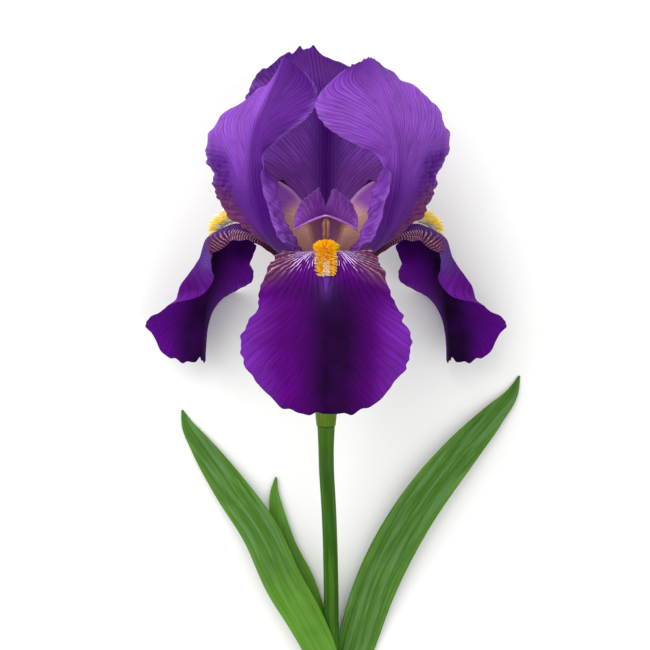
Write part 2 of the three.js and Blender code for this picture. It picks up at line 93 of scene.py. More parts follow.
def hump(x: np.ndarray, centre: float | np.ndarray, width: float) -> np.ndarray:
    """A bell of height 1 at centre that has fallen to a third at width from it."""
    return np.exp(-(((x - centre) / width) ** 2))


def waves(q: np.ndarray, *terms: Sequence[float | np.ndarray]) -> np.ndarray:
    """A sum of sine waves, each given by its height, its count from q = 0 to 1, and its phase."""
    return sum(height * np.sin(2 * math.pi * count * q + phase) for height, count, phase in terms)


def roughened(grid: np.ndarray, grain: float, seed: float) -> np.ndarray:
    """Smooth random heights over a grid of points.

    Args:
        grid: Points in mm.
        grain: Distance in mm over which the heights change.
        seed: Shift that picks another pattern.

    Returns:
        One height for each point, about -1 to 1.
    """
    shift = Vector((seed, 2.7 * seed, 5.1 * seed))
    heights = [noise.noise(Vector(p) / grain + shift) for p in grid.reshape(-1, 3).tolist()]
    return np.array(heights).reshape(grid.shape[:-1])


def unit(vectors: np.ndarray) -> np.ndarray:
    """Vectors brought to length 1."""
    return vectors / np.maximum(np.linalg.norm(vectors, axis=-1, keepdims=True), 1e-9)


def xyz(*parts: np.ndarray | float) -> np.ndarray:
    """Points, or notes of three numbers, from their parts."""
    return np.stack(np.broadcast_arrays(*parts), -1)


def round_angles(sides: int) -> np.ndarray:
    """The angles of points spaced evenly round a circle."""
    return 2 * math.pi * np.arange(sides) / sides


def grid_faces(at: np.ndarray) -> np.ndarray:
    """The faces between the points of a grid, given the points' numbers."""
    return np.stack([at[:-1, :-1], at[1:, :-1], at[1:, 1:], at[:-1, 1:]], -1).reshape(-1, 4)


def ring_faces(at: np.ndarray) -> np.ndarray:
    """The faces between rings of points, given the points' numbers."""
    after = np.roll(at, -1, axis=1)
    return np.stack([at[:-1], after[:-1], after[1:], at[1:]], -1).reshape(-1, 4)


class SmoothRow:
    """A smooth curve through values, or through points in space, at rising stations."""

    def __init__(self, stations: Row, values: Row | np.ndarray) -> None:
        """Fits the curve.

        Args:
            stations: Rising places from 0 to 1.
            values: The value or the point at each.
        """
        self.stations, self.values = np.asarray(stations, float), np.asarray(values, float)
        self.steps = np.diff(self.stations)
        steps = self.steps[:, None] if self.values.ndim > 1 else self.steps
        chords = np.diff(self.values, axis=0) / steps
        before, after = steps[:-1], steps[1:]
        inner = (chords[:-1] * after + chords[1:] * before) / (before + after)
        self.slopes = np.concatenate([chords[:1], inner, chords[-1:]])

    def read(self, q: np.ndarray) -> tuple[np.ndarray, np.ndarray]:
        """Reads the curve.

        Args:
            q: Places to read it at.

        Returns:
            The values and the slopes there.
        """
        k = np.clip(np.searchsorted(self.stations, q, side="right") - 1, 0, len(self.steps) - 1)
        step = self.steps[k]
        s = (q - self.stations[k]) / step
        if self.values.ndim > 1:
            s, step = s[..., None], step[..., None]
        a, b = self.values[k], self.values[k + 1]
        ma, mb = self.slopes[k] * step, self.slopes[k + 1] * step
        value = (a * (1 + 2 * s) * (1 - s) ** 2 + b * s * s * (3 - 2 * s)
                 + ma * s * (1 - s) ** 2 + mb * s * s * (s - 1))
        slope = ((b - a) * 6 * s * (1 - s) + ma * (1 - s) * (1 - 3 * s) + mb * s * (3 * s - 2)) / step
        return value, slope

    def __call__(self, q: np.ndarray) -> np.ndarray:
        """The values at q."""
        return self.read(q)[0]


def length_stations(points: np.ndarray) -> np.ndarray:
    """The share of a line's length at each of its points."""
    sums = np.concatenate([[0], np.cumsum(np.linalg.norm(np.diff(points, axis=0), axis=1))])
    return sums / sums[-1]


def grid_normals(grid: np.ndarray) -> np.ndarray:
    """Unit normals of a grid of points, along crossed with across."""
    return unit(np.cross(np.gradient(grid, axis=0), np.gradient(grid, axis=1)))


def bent_section(crease: np.ndarray, turn: np.ndarray, fold: np.ndarray,
                 a: np.ndarray) -> tuple[np.ndarray, ...]:
    """Where a half-section of unit width has come to at a share of its width.

    Args:
        crease: Radians that it is turned by at the midrib.
        turn: Radians that it bends by evenly from midrib to margin.
        fold: Radians that it folds by about halfway out.
        a: Share of its width.

    Returns:
        The place across, the rise and the angle there.
    """
    fold_from, fold_to, samples = 0.5, 0.75, 24
    share = ((np.arange(samples) + 0.5) / samples).reshape(-1, *[1] * np.ndim(a)) * a
    angles = crease + turn * share + fold * ease(share, fold_from, fold_to)
    angle = crease + turn * a + fold * ease(a, fold_from, fold_to)
    return np.cos(angles).mean(0) * a, np.sin(angles).mean(0) * a, angle


@dataclass(frozen=True)
class Pose:
    """How the bloom's own axes lie in the row frame."""

    tilt: float = 10.0
    at: tuple[float, float, float] = (0.4, 27.6, 53.8)

    def to_row(self, points: np.ndarray) -> np.ndarray:
        """Points of the bloom's frame as points of the row."""
        angle = math.radians(self.tilt)
        x, up, out = points[..., 0], points[..., 1], points[..., 2]
        return xyz(self.at[0] + x, self.at[1] + up * math.cos(angle) - out * math.sin(angle),
                   self.at[2] + up * math.sin(angle) + out * math.cos(angle))


BLOOM = Pose()


def turned(points: np.ndarray, azimuth: float, mirrored: bool = False) -> np.ndarray:
    """Turns points of a petal's frame to their place round the bloom.

    Args:
        points: Points with x across, y up and z out.
        azimuth: Degrees round the axis, 0 at the front and 90 at the right.
        mirrored: Whether left and right are swapped first.

    Returns:
        Points of the bloom's frame.
    """
    angle = math.radians(azimuth)
    across = -points[..., 0] if mirrored else points[..., 0]
    out = points[..., 2]
    return xyz(across * math.cos(angle) + out * math.sin(angle), points[..., 1],
               out * math.cos(angle) - across * math.sin(angle))


@dataclass
class Shell:
    """A mesh in the making: points, faces and what the finish reads at each point."""

    points: np.ndarray
    faces: np.ndarray
    notes: dict[str, np.ndarray] = field(default_factory=dict)

    @staticmethod
    def joined(shells: Sequence["Shell"]) -> "Shell":
        """Several shells with the same notes, and four corners to each face, as one."""
        starts = np.cumsum([0] + [len(s.points) for s in shells[:-1]])
        notes = {k: np.concatenate([s.notes[k] for s in shells]) for k in shells[0].notes}
        return Shell(np.concatenate([s.points for s in shells]),
                     np.concatenate([s.faces + start for s, start in zip(shells, starts)]), notes)

    @staticmethod
    def sheet(grid: np.ndarray, above: np.ndarray, below: np.ndarray,
              notes: dict[str, np.ndarray], flipped: bool = False) -> "Shell":
        """A closed thin body on a grid of points.

        Args:
            grid: Points of the middle surface, rows along and columns across.
            above: Distance to the upper face at each point.
            below: Distance to the lower face at each point.
            notes: Three numbers at each point, by name; the third of "place" becomes the side.
            flipped: Whether the grid has been mirrored, which turns its faces round.

        Returns:
            The body, its upper face first.
        """
        rows, columns = grid.shape[:2]
        normals = grid_normals(grid) * (-1 if flipped else 1)
        points = np.concatenate([(grid + normals * above[..., None]).reshape(-1, 3),
                                 (grid - normals * below[..., None]).reshape(-1, 3)])
        at = np.arange(rows * columns).reshape(rows, columns)
        top = grid_faces(at)
        edge = np.concatenate([at[:-1, 0], at[-1, :-1], at[:0:-1, -1], at[0, :0:-1]])
        ring = np.roll(edge, -1)
        under = at.size
        rim = np.stack([edge, edge + under, ring + under, ring], -1)
        faces = np.concatenate([top, top[:, ::-1] + under, rim])
        if flipped:
            faces = faces[:, ::-1]
        both = {}
        for name, values in notes.items():
            upper, lower = values.reshape(-1, 3).copy(), values.reshape(-1, 3).copy()
            if name == "place":
                upper[:, 2], lower[:, 2] = 1, 0
            both[name] = np.concatenate([upper, lower])
        return Shell(points, faces, both)

    @staticmethod
    def tube(line: np.ndarray, radius: np.ndarray, sides: int, lobes: np.ndarray | None = None) -> "Shell":
        """A closed body of round section along a line.

        Args:
            line: Points along the middle.
            radius: The radius at each.
            sides: How many points go round.
            lobes: A factor on the radius for each step and each point round it.

        Returns:
            The body, with the share of its length, the turn and the radius in its notes.
        """
        along = unit(np.gradient(line, axis=0))
        side = unit(np.array([1.0, 0, 0]) - along * along[:, :1])
        rise = np.cross(along, side)
        angle = round_angles(sides)
        spokes = side[:, None] * np.cos(angle)[:, None] + rise[:, None] * np.sin(angle)[:, None]
        reach = radius[:, None] * (lobes if lobes is not None else 1)
        rings = line[:, None] + spokes * np.broadcast_to(reach, spokes.shape[:2])[..., None]
        steps = len(line)
        points = np.concatenate([rings.reshape(-1, 3), line[:1], line[-1:]])
        at = np.arange(steps * sides).reshape(steps, sides)
        after = np.roll(at, -1, axis=1)
        first, last = np.full(sides, at.size), np.full(sides, at.size + 1)
        foot = np.stack([first, after[0], at[0], first], -1)
        head = np.stack([last, at[-1], after[-1], last], -1)
        place = xyz(np.linspace(0, 1, steps)[:, None], angle, radius[:, None]).reshape(-1, 3)
        ends = np.array([[0, 0, 0], [1, 0, 0]])
        return Shell(points, np.concatenate([ring_faces(at), foot, head]),
                     {"place": np.concatenate([place, ends])})


def add_mesh(name: str, points: np.ndarray, faces: list[list[int]],
             material: bpy.types.Material) -> bpy.types.Object:
    """Adds a smooth mesh object to the scene.

    Args:
        name: The object's name.
        points: Its points in metres.
        faces: The point numbers of each face.
        material: Its material.

    Returns:
        The object.
    """
    mesh = bpy.data.meshes.new(name)
    mesh.from_pydata(points.tolist(), [], faces)
    mesh.polygons.foreach_set("use_smooth", [True] * len(mesh.polygons))
    mesh.materials.append(material)
    piece = bpy.data.objects.new(name, mesh)
    bpy.context.scene.collection.objects.link(piece)
    return piece


@dataclass(frozen=True)
class Stand:
    """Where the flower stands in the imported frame: the shift from the row to the frame."""

    shift: np.ndarray

    @classmethod
    def from_tube(cls, profile: Sequence[Row], sides: int = 18) -> "Stand":
        """Finds the shift by the box of the solid tube, a profile turned about the bloom's axis.

        Args:
            profile: Radius and height pairs of the solid tube.
            sides: How many flats the solid tube has.

        Returns:
            The stand.
        """
        angle = round_angles(sides)
        solid = np.array([xyz(r * np.sin(angle), h, r * np.cos(angle)) for r, h in profile])
        own = BLOOM.to_row(solid).reshape(-1, 3)
        low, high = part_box("ovary_and_tube")
        middle = (np.array(low) + np.array(high)) / 2 / MM
        return cls(middle - (own.min(0) + own.max(0)) / 2)

    def make(self, name: str, shell: Shell, material: bpy.types.Material) -> bpy.types.Object:
        """Makes a Blender object of a shell.

        Args:
            name: The object's name.
            shell: The body, in mm in the row frame.
            material: Its material.

        Returns:
            The object, linked to the scene, with the shell's notes as point attributes.
        """
        faces = [list(dict.fromkeys(face)) for face in shell.faces.tolist()]
        piece = add_mesh(name, (shell.points + self.shift) * MM, faces, material)
        for note, values in shell.notes.items():
            attribute = piece.data.attributes.new(note, "FLOAT_VECTOR", "POINT")
            attribute.data.foreach_set("vector", values.astype(np.float32).ravel())
        return piece


def seat(piece: bpy.types.Object, node: str, slot: Slot) -> None:
    """Puts a piece on the flower's body in the place of its solid.

    Args:
        piece: The dressed piece.
        node: The solid that it stands for.
        slot: The record's slot for its finish.
    """
    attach(piece, "root")
    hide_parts(node)
    LOG.info("%s: %d faces, slot %s", piece.name, len(piece.data.polygons), slot.value)


# Each kind of node: Blender's name for it, the sockets that its inputs fill, and its settings.
NODE_KINDS: dict[str, tuple[str, tuple[int | str, ...], dict[str, object]]] = {
    "coords": ("TexCoord", (), {}),
    "note": ("Attribute", (), {}),
    "split": ("SeparateXYZ", (0,), {}),
    "join": ("CombineXYZ", (0, 1), {}),
    "noise": ("TexNoise", ("Vector", "Scale", "Detail", "Roughness"), {}),
    "cells": ("TexVoronoi", ("Vector", "Scale"), {}),
    "range": ("MapRange", (0, 1, 2, 3, 4), {}),
    "ease": ("MapRange", (0, 1, 2, 3, 4), {"interpolation_type": "SMOOTHSTEP"}),
    "mix": ("Mix", (0, 6, 7), {"data_type": "RGBA"}),
    "tint": ("Mix", (0, 6, 7), {"data_type": "RGBA", "blend_type": "MULTIPLY"}),
    "bump": ("Bump", ("Strength", "Distance", "Height"), {}),
    "skin": ("BsdfPrincipled", ("Base Color", "Roughness", "IOR", "Normal", "Specular IOR Level",
                                "Sheen Weight", "Sheen Roughness", "Sheen Tint"), {}),
    "out": ("OutputMaterial", (0,), {}),
}
# The output that a bare name stands for, where it isn't the first: object place, vector, colour.
USUAL_OUTPUTS = {"TEX_COORD": 3, "ATTRIBUTE": 1, "MIX": 2}


def add_node(tree: bpy.types.NodeTree, name: str, kind: str, *inputs: object) -> bpy.types.Node:
    """Adds one node with its settings and links.

    Args:
        tree: The material's node tree.
        name: The node's name.
        kind: One of NODE_KINDS, or a math operation, which "clamped_" before it keeps in 0 to 1.
        inputs: What goes into its sockets: a number, a "#" colour, or the name of another node,
            with "/" and an output's number where it isn't the usual one.

    Returns:
        The node.
    """
    clamped = kind.startswith("clamped_")
    operation = {"operation": kind.removeprefix("clamped_").upper(), "use_clamp": clamped}
    made, sockets, settings = NODE_KINDS.get(kind, ("Math", (0, 1, 2), operation))
    node = tree.nodes.new("ShaderNode" + made)
    node.name = name
    for key, value in settings.items():
        setattr(node, key, value)
    for socket, value in zip(sockets, inputs):
        if not isinstance(value, str):
            node.inputs[socket].default_value = value
        elif value.startswith("#"):
            node.inputs[socket].default_value = linear(value)
        else:
            source, _, output = value.partition("/")
            usual = USUAL_OUTPUTS.get(tree.nodes[source].type, 0)
            tree.links.new(tree.nodes[source].outputs[int(output or usual)], node.inputs[socket])
    return node


def per_mm(size: float) -> float:
    """The scale of a pattern whose grains are so many mm across."""
    return 1 / (size * MM)


@dataclass(frozen=True)
class Finish:
    """A finish: its name, how rough and glossy it is, and the nodes that draw its colour and relief.

    NOTES holds the names of the mesh's notes that it reads and of the nodes that split them. GLOSS
    is the node that the roughness varies with, and how far it does either way.
    """

    name: str
    roughness: float = 0.6
    ior: float = 1.4
    specular: float = 0.2
    sheen: float = 0.0
    sheen_tint: str = "#ffffff"
    relief_mm: float = 0.3

    NOTES: ClassVar[dict[str, str]] = {}
    GLOSS: ClassVar[tuple[str, float]] = ("height", 0.05)

    def rows(self) -> list[NodeRow]:
        """The nodes that draw the finish: name, kind and inputs. Two are named colour and height."""
        raise NotImplementedError

    def material(self) -> bpy.types.Material:
        """Builds the material.

        Returns:
            The material, with every constant set on the shader itself.
        """
        made = bpy.data.materials.new(self.name)
        made.use_nodes = True
        tree = made.node_tree
        tree.nodes.clear()
        add_node(tree, "coords", "coords")
        for note, parts in self.NOTES.items():
            add_node(tree, note, "note").attribute_name = note
            add_node(tree, parts, "split", note)
        for row in self.rows():
            add_node(tree, *row)
        source, vary = self.GLOSS
        add_node(tree, "gloss", "range", source, 0.0, 1.0, self.roughness - vary, self.roughness + vary)
        add_node(tree, "bump", "bump", 1.0, self.relief_mm * MM, "height")
        add_node(tree, "skin", "skin", "colour", "gloss", self.ior, "bump", self.specular,
                 self.sheen, 0.4, self.sheen_tint)
        add_node(tree, "out", "out", "skin")
        return made


@dataclass(frozen=True, kw_only=True)
class TepalSkin(Finish):
    """Living petal tissue. Its outer cells are tiny cones, so it looks like velvet or silk, with a
    soft sheen at grazing angles, and the veins show as darker lines sunk a little in it."""

    inner: str
    outer: str
    deep: str
    glow: str
    margin: str
    mauve: str
    claw: str
    vein: str
    stripe: str = "#d8bcf0"
    stripe_far: str = "#b58a9c"
    vein_depth: float = 0.5
    fork_depth: float = 0.35
    outside: float = 0.0
    sheen_streaks: float = 0.16
    kink: float = 0.3
    lane_depth: float = 0.4

    NOTES = {"place": "at", "flow": "line", "wash": "dark", "trim": "pale"}
    GLOSS = ("wobble", 0.08)

    def rows(self) -> list[NodeRow]:
        """See Finish. The notes on the mesh say where each colour lies, and the nodes draw the veins."""
        wobble_mm, kink_mm, cell_mm, blotch_mm = 9.0, 2.5, 0.9, 14.0
        silk_grain, silk_length = 2.4, 2.5
        return [
            ("coloured_face", "range", "at/2", 0.0, 1.0, self.outside, 1.0),
            ("wobble", "noise", "coords", per_mm(wobble_mm), 1.0),
            ("cells", "noise", "coords", per_mm(cell_mm), 1.0),
            ("blotch", "noise", "coords", per_mm(blotch_mm), 3.0),
            ("drift", "multiply_add", "wobble", 0.9, -0.45),
            ("main_at", "add", "line/0", "drift"),
            ("length", "multiply", "at/1", silk_length),
            ("run", "join", "main_at", "length"),
            ("silk", "noise", "run", silk_grain, 3.0, 0.6),
            ("main_off", "pingpong", "main_at", 0.5),
            ("main", "ease", "main_off", 0.01, 0.16, self.vein_depth, 0.0),
            ("fork_away", "subtract", "silk", 0.5),
            ("fork_near", "absolute", "fork_away"),
            ("fork", "ease", "fork_near", 0.006, 0.045, self.fork_depth, 0.0),
            ("kinks", "noise", "coords", per_mm(kink_mm), 1.0),
            ("kinked", "multiply_add", "kinks", self.kink, "line/1"),
            ("lane_at", "multiply_add", "drift", 0.7, "kinked"),
            ("lane_off", "pingpong", "lane_at", 0.5),
            ("lane_line", "ease", "lane_off", 0.03, 0.3, self.lane_depth, 0.0),
            ("lane", "multiply", "lane_line", "line/2"),
            ("veins", "maximum", "main", "fork"),
            ("spread", "multiply", "veins", "line/2"),
            ("away", "subtract", "veins", "spread"),
            ("all", "clamped_add", "away", "lane"),
            ("patchy", "range", "silk", 0.34, 0.66, 0.1, 1.25),
            ("drawn", "clamped_multiply", "all", "patchy"),
            ("faces", "mix", "at/2", self.outer, self.inner),
            ("uneven", "range", "blotch", 0.3, 0.7, 0.75, 1.1),
            ("depth", "clamped_multiply", "uneven", "dark/0"),
            ("shaded", "mix", "depth", "faces", self.deep),
            # The glow tone: painted light on the standards, painted sheen on the side falls' bands, and plain
            # blue or purple elsewhere on the falls and on the style arms.
            ("glow_in", "multiply", "dark/1", "coloured_face"),
            ("glowing", "mix", "glow_in", "shaded", self.glow),
            ("edge_in", "multiply", "pale/0", "coloured_face"),
            ("edged", "mix", "edge_in", "glowing", self.margin),
            ("mauve_in", "multiply", "pale/1", "coloured_face"),
            ("mauved", "mix", "mauve_in", "edged", self.mauve),
            ("stripe_in", "multiply", "pale/2", "coloured_face"),
            ("stripe_here", "multiply", "stripe_in", "patchy"),
            ("stripe_half", "multiply_add", "stripe_here", -0.3, 0.48),
            ("between", "subtract", "lane_off", "stripe_half"),
            ("stripe_shown", "range", "stripe_here", 0.0, 0.45),
            ("streak", "ease", "between", 0.0, 0.07, 0.0, "stripe_shown"),
            ("stripe_tint", "mix", "pale/1", self.stripe, self.stripe_far),
            ("striped", "mix", "streak", "mauved", "stripe_tint"),
            ("clawed", "mix", "dark/2", "striped", self.claw),
            ("tone", "range", "blotch", 0.25, 0.75, 0.82, 1.18),
            # Painted sheen: streaks along the lanes made lighter and darker, then multiplied with the random
            # tone.
            ("shot", "range", "silk", 0.3, 0.7, 1 - self.sheen_streaks, 1 + self.sheen_streaks),
            ("shine", "multiply", "tone", "shot"),
            ("toned", "tint", 1.0, "clawed", "shine"),
            ("colour", "mix", "drawn", "toned", self.vein),
            ("ribs", "multiply_add", "drawn", -0.5, 0.5),
            ("height", "multiply_add", "cells", 0.35, "ribs"),
        ]


@dataclass(frozen=True)
class HairFinish(Finish):
    """Beard hairs, soft fleshy threads: coloured tips on paler roots, orange in the throat and
    white with yellow ends toward the open end."""

    throat_tip: str = "#ffcc20"
    throat_root: str = "#ffbe10"
    open_tip: str = "#e8a83c"
    open_root: str = "#fff4e4"
    opens: tuple[float, float] = (0.82, 0.98)

    NOTES = {"place": "at", "spread": "side"}
    GLOSS = ("grain", 0.05)

    def rows(self) -> list[NodeRow]:
        """See Finish. The notes say how far up the hair, how far along the beard, a random share, and
        how far from the beard's middle."""
        grains_per_m = 900.0
        return [
            ("grain", "noise", "coords", grains_per_m),
            ("out_at", "multiply_add", "at/2", 0.2, "at/1"),
            ("middle", "multiply_add", "side/0", -0.4, "out_at"),
            ("open", "ease", "middle", self.opens[0], self.opens[1]),
            ("aside", "multiply_add", "at/2", 0.5, "side/0"),
            ("outer", "ease", "aside", 0.4, 0.8),
            ("tip_from", "multiply_add", "outer", -0.5, 0.95),
            ("past", "subtract", "at/0", "tip_from"),
            ("tipped", "ease", "past", 0.0, 0.4),
            ("roots", "mix", "open", self.throat_root, self.open_root),
            ("tips", "mix", "open", self.throat_tip, self.open_tip),
            ("hair", "mix", "tipped", "roots", "tips"),
            ("vary", "range", "at/2", 0.0, 1.0, 0.85, 1.1),
            ("colour", "tint", 1.0, "hair", "vary"),
            ("height", "multiply", "grain", 0.2),
        ]


@dataclass(frozen=True)
class PollenFinish(Finish):
    """Anther and filament: a matt powder of pollen grains on a pale thread, with painted shade in the
    furrow down each side where the two sacs meet. The powder hides all gloss."""

    body: str = "#a87058"
    powder: str = "#dcb496"
    furrow_shade: str = "#4c2418"
    grain_mm: float = 0.35

    NOTES = {"place": "at"}
    GLOSS = ("dust", 0.05)

    def rows(self) -> list[NodeRow]:
        """See Finish. Real grains are 0.1 mm; they are drawn at 0.35 mm so that they show."""
        return [
            ("grains", "cells", "coords", per_mm(self.grain_mm)),
            ("dust", "range", "grains", 0.1, 0.6, 1.0, 0.0),
            ("turn", "sine", "at/1"),
            ("front", "absolute", "turn"),
            # Painted shade in the furrow down each side.
            ("furrow", "ease", "front", 0.93, 1.0),
            ("dusty", "mix", "dust", self.body, self.powder),
            ("colour", "mix", "furrow", "dusty", self.furrow_shade),
            ("height", "multiply", "dust", 0.6),
        ]


@dataclass(frozen=True, kw_only=True)
class GreenSkin(Finish):
    """Waxy green plant skin with fine lengthwise fibres. The wax gives a soft broad highlight and a
    greyish bloom in places; the fibres show as paler lines."""

    body: str
    wax: str
    fresh: str
    fibre: str = "#86a84c"
    fibre_mm: float = 1.6
    fibre_depth: float = 0.35

    NOTES = {"flow": "mm"}
    GLOSS = ("streaks", 0.1)

    def rows(self) -> list[NodeRow]:
        """See Finish. The flow note holds mm across, mm along, and how yellow-green the place is."""
        streaks_per_mm, threads_per_mm, lengthwise, mottles_per_m = 0.45, 2.2, 0.06, 60.0
        return [
            ("length", "multiply", "mm/1", lengthwise),
            ("long", "join", "mm/0", "length"),
            ("streaks", "noise", "long", streaks_per_mm, 3.0),
            ("threads", "noise", "long", threads_per_mm, 2.0),
            ("mottle", "noise", "coords", mottles_per_m, 2.0),
            ("rib_at", "divide", "mm/0", self.fibre_mm),
            ("rib_off", "pingpong", "rib_at", 0.5),
            ("rib", "ease", "rib_off", 0.02, 0.22, 1.0, 0.0),
            ("seen", "range", "threads", 0.35, 0.7, 0.0, self.fibre_depth),
            ("fibres", "multiply", "rib", "seen"),
            ("waxy", "ease", "streaks", 0.42, 0.62),
            ("ground", "mix", "waxy", self.body, self.wax),
            ("young", "clamped_multiply", "mm/2", 1.0),
            ("yellowed", "mix", "young", "ground", self.fresh),
            ("lined", "mix", "fibres", "yellowed", self.fibre),
            ("tone", "range", "mottle", 0.3, 0.7, 0.88, 1.12),
            ("colour", "tint", 1.0, "lined", "tone"),
            ("fine", "multiply_add", "threads", 0.5, "rib"),
            ("height", "multiply", "fine", 0.5),
        ]


@dataclass(frozen=True)
class StudioFinish(Finish):
    """Matt pale paper sweep under the flower, with the faintest tooth."""

    paper: str = "#f4f4f2"

    GLOSS = ("tooth", 0.05)

    def rows(self) -> list[NodeRow]:
        """See Finish."""
        tooth_per_m = 400.0
        return [
            ("tooth", "noise", "coords", tooth_per_m, 2.0),
            ("tint", "range", "tooth", 0.0, 1.0, 0.985, 1.0),
            ("colour", "tint", 1.0, self.paper, "tint"),
            ("height", "multiply", "tooth", 0.1),
        ]


@dataclass(frozen=True)
class Half:
    """One half of a petal, as rows from foot to tip: width in mm, then turn, crease and fold in degrees."""

    half: Row
    turn: Row
    crease: Row = ()
    fold: Row = ()


@dataclass(frozen=True)
class Tip:
    """How the far end of a petal is rounded, notched and stepped, as shares of its length."""

    drop: float = 0.0
    power: float = 2.0
    notch: float = 0.0
    step: float = 0.0
    scallop: float = 0.004

    def reach(self, v: np.ndarray) -> np.ndarray:
        """The share of the midrib's length that the petal reaches at v, negative on the far half."""
        notch_width, step_at, step_width = 0.06, -0.17, 0.03
        jags = 1.2 * np.sin(19 * v + 1.0) + 0.7 * np.sin(31 * v + 2.2)
        return (1 - self.drop * np.abs(v) ** self.power - self.notch * hump(v, 0.0, notch_width)
                - self.step / (1 + np.exp((v - step_at) / step_width)) + self.scallop * jags)


@dataclass(frozen=True)
class Pinch:
    """A crimp, where a margin was nipped in the bud: v of the margin, place along, depth in mm."""

    margin: int
    along: float
    depth: float
    width: float = 0.02
    slant: float = 0.06

    def line(self, v: np.ndarray) -> tuple[np.ndarray, np.ndarray]:
        """Where along the petal the crimp runs at v, and whether it is on that half."""
        return self.along + self.slant * (np.abs(v) - 1), v * self.margin > 0


@dataclass(frozen=True)
class Tepal:
    """A petal-like blade: a bent sheet along a midrib, with veins, ruffles and thin margins.

    Ruffle, frill, crumple and pleat are heights in mm of ever finer waves, scallop a share of the
    width. The side veins are vein_mm apart and slant by vein_fan, the lengthwise lanes lane_mm apart.
    """

    name: str
    azimuth: float
    out: Row
    up: Row
    far: Half
    near: Half
    tip: Tip
    sway: Row = ()
    ruffle: float = 0.0
    mirrored: bool = False
    pinches: tuple[Pinch, ...] = ()
    steps: tuple[int, int] = (150, 104)
    thick: float = 0.45
    thin: float = 0.22
    crumple: float = 0.35
    pleat: float = 0.08
    pleat_veins: float = 1.6
    frill: float = 0.5
    scallop: float = 0.008
    vein_mm: float = 3.4
    vein_fan: float = 0.5
    lane_mm: float = 1.5
    seed: float = 1.0

    RUFFLE_WAVES = ((1, 4.2, 1.8), (1, 4.5, 0.3))
    RUFFLE_START = ((0, 0.25, 0.45, 1), (0, 0.35, 1, 1))

    def midrib(self) -> np.ndarray:
        """The midrib's points, out and up."""
        return np.stack([self.out, self.up], -1).astype(float)

    def length(self) -> float:
        """The midrib's length in mm."""
        return float(np.linalg.norm(np.diff(self.midrib(), axis=0), axis=1).sum())

    def row(self, values: Row) -> SmoothRow:
        """A smooth curve through a row of values along the midrib."""
        return SmoothRow(length_stations(self.midrib()), values if len(values) else [0.0] * len(self.out))

    def halves(self, q: np.ndarray, v: np.ndarray) -> tuple[np.ndarray, ...]:
        """Half-width in mm, then crease, turn and fold in radians, at shares q along and v across."""
        pick = [np.where(v > 0, self.row(near)(q), self.row(far)(q)) for far, near in (
            (self.far.half, self.near.half), (self.far.crease, self.near.crease),
            (self.far.turn, self.near.turn), (self.far.fold, self.near.fold))]
        return pick[0], *np.radians(pick[1:])

    def reached(self, u: np.ndarray, v: np.ndarray) -> np.ndarray:
        """The share of the midrib's length at the grid place u, v."""
        return u * (1 - (1 - self.tip.reach(v)) * u * u)

    def surface(self, u: np.ndarray, v: np.ndarray) -> np.ndarray:
        """Points of the middle surface in the petal's own frame.

        Args:
            u: Grid places from foot, 0, to tip, 1.
            v: Grid places from the far margin, -1, to the near one, 1.

        Returns:
            Points, x across, y up and z out.
        """
        q, a = self.reached(u, v), np.abs(v)
        width, crease, turn, fold = self.halves(q, v)
        for pinch in self.pinches:
            at, here = pinch.line(v)
            width = width - here * pinch.depth * hump(q, at, pinch.width) * a ** 3
        width = width * (1 + a ** 6 * self.scallops(q, v))
        across, rise, angle = bent_section(crease, turn, fold, a)
        far, near = (waves(q, wave) for wave in self.RUFFLE_WAVES)
        lift = self.ruffle * a ** 3 * np.where(v > 0, near, far) * np.interp(q, *self.RUFFLE_START)
        lift = lift + self.frilled(q, v)
        x = (across * width - np.sin(angle) * lift) * np.sign(v) + self.row(self.sway)(q)
        rise = rise * width + np.cos(angle) * lift
        out, slope_out = self.row(self.out).read(q)
        up, slope_up = self.row(self.up).read(q)
        slope = np.hypot(slope_out, slope_up)
        return xyz(x, up + rise * slope_out / slope, out - rise * slope_up / slope)

    def scallops(self, q: np.ndarray, v: np.ndarray) -> np.ndarray:
        """The small scallops of the margins, as a share of the half-width."""
        side = np.where(v > 0, 0.7, 3.0)
        return self.scallop * waves(q, (1, 19, side), (0.7, 31, 2 * side))

    def frilled(self, q: np.ndarray, v: np.ndarray) -> np.ndarray:
        """Small waves near the margins and the pleats that run in from them, as a lift in mm."""
        a = np.abs(v)
        side = np.where(v > 0, 0.0, 2.1)
        small = waves(q, (1, 11, side), (0.6, 17, 3 * side))
        lift = self.frill * ease(a, 0.55, 1.0) * small * ease(q, 0.1, 0.3)
        for pinch in self.pinches:
            at, here = pinch.line(v)
            fold = hump(q, at, pinch.width * 0.8) - 0.5 * hump(q, at + 2 * pinch.width, pinch.width)
            lift = lift - here * pinch.depth * 0.7 * fold * ease(a, 0.35, 1.0)
        return lift

    def flow(self, q: np.ndarray, v: np.ndarray) -> np.ndarray:
        """Where the veins run.

        Args:
            q: Share of the midrib's length.
            v: Share of the half-width.

        Returns:
            The count of side veins passed, the count of lengthwise lines passed, and how far
            the lengthwise lines take over.
        """
        a = np.abs(v)
        width = self.halves(q, v)[0]
        side_veins = (q - self.vein_fan * a ** 0.42) * self.length() / self.vein_mm
        lanes = v * width / self.lane_mm
        return xyz(side_veins, lanes, 1 - ease(a * width, 1.5, 6.5))

    def tones(self, q: np.ndarray, v: np.ndarray) -> tuple[np.ndarray, np.ndarray]:
        """Where the finish's colours lie.

        Args:
            q: Share of the midrib's length.
            v: Share of the half-width.

        Returns:
            Two sets of three shares: deep, glow and claw, then margin, mauve and stripe.
        """
        raise NotImplementedError

    def puckers(self, grid: np.ndarray, q: np.ndarray, v: np.ndarray, rough: np.ndarray) -> np.ndarray:
        """Crumples low on the petal, which most petals don't have.

        Args:
            grid: Points of the middle surface.
            q: Share of the midrib's length.
            v: Share of the half-width.
            rough: Coarse random heights.

        Returns:
            A lift in mm at each point.
        """
        return 0 * q

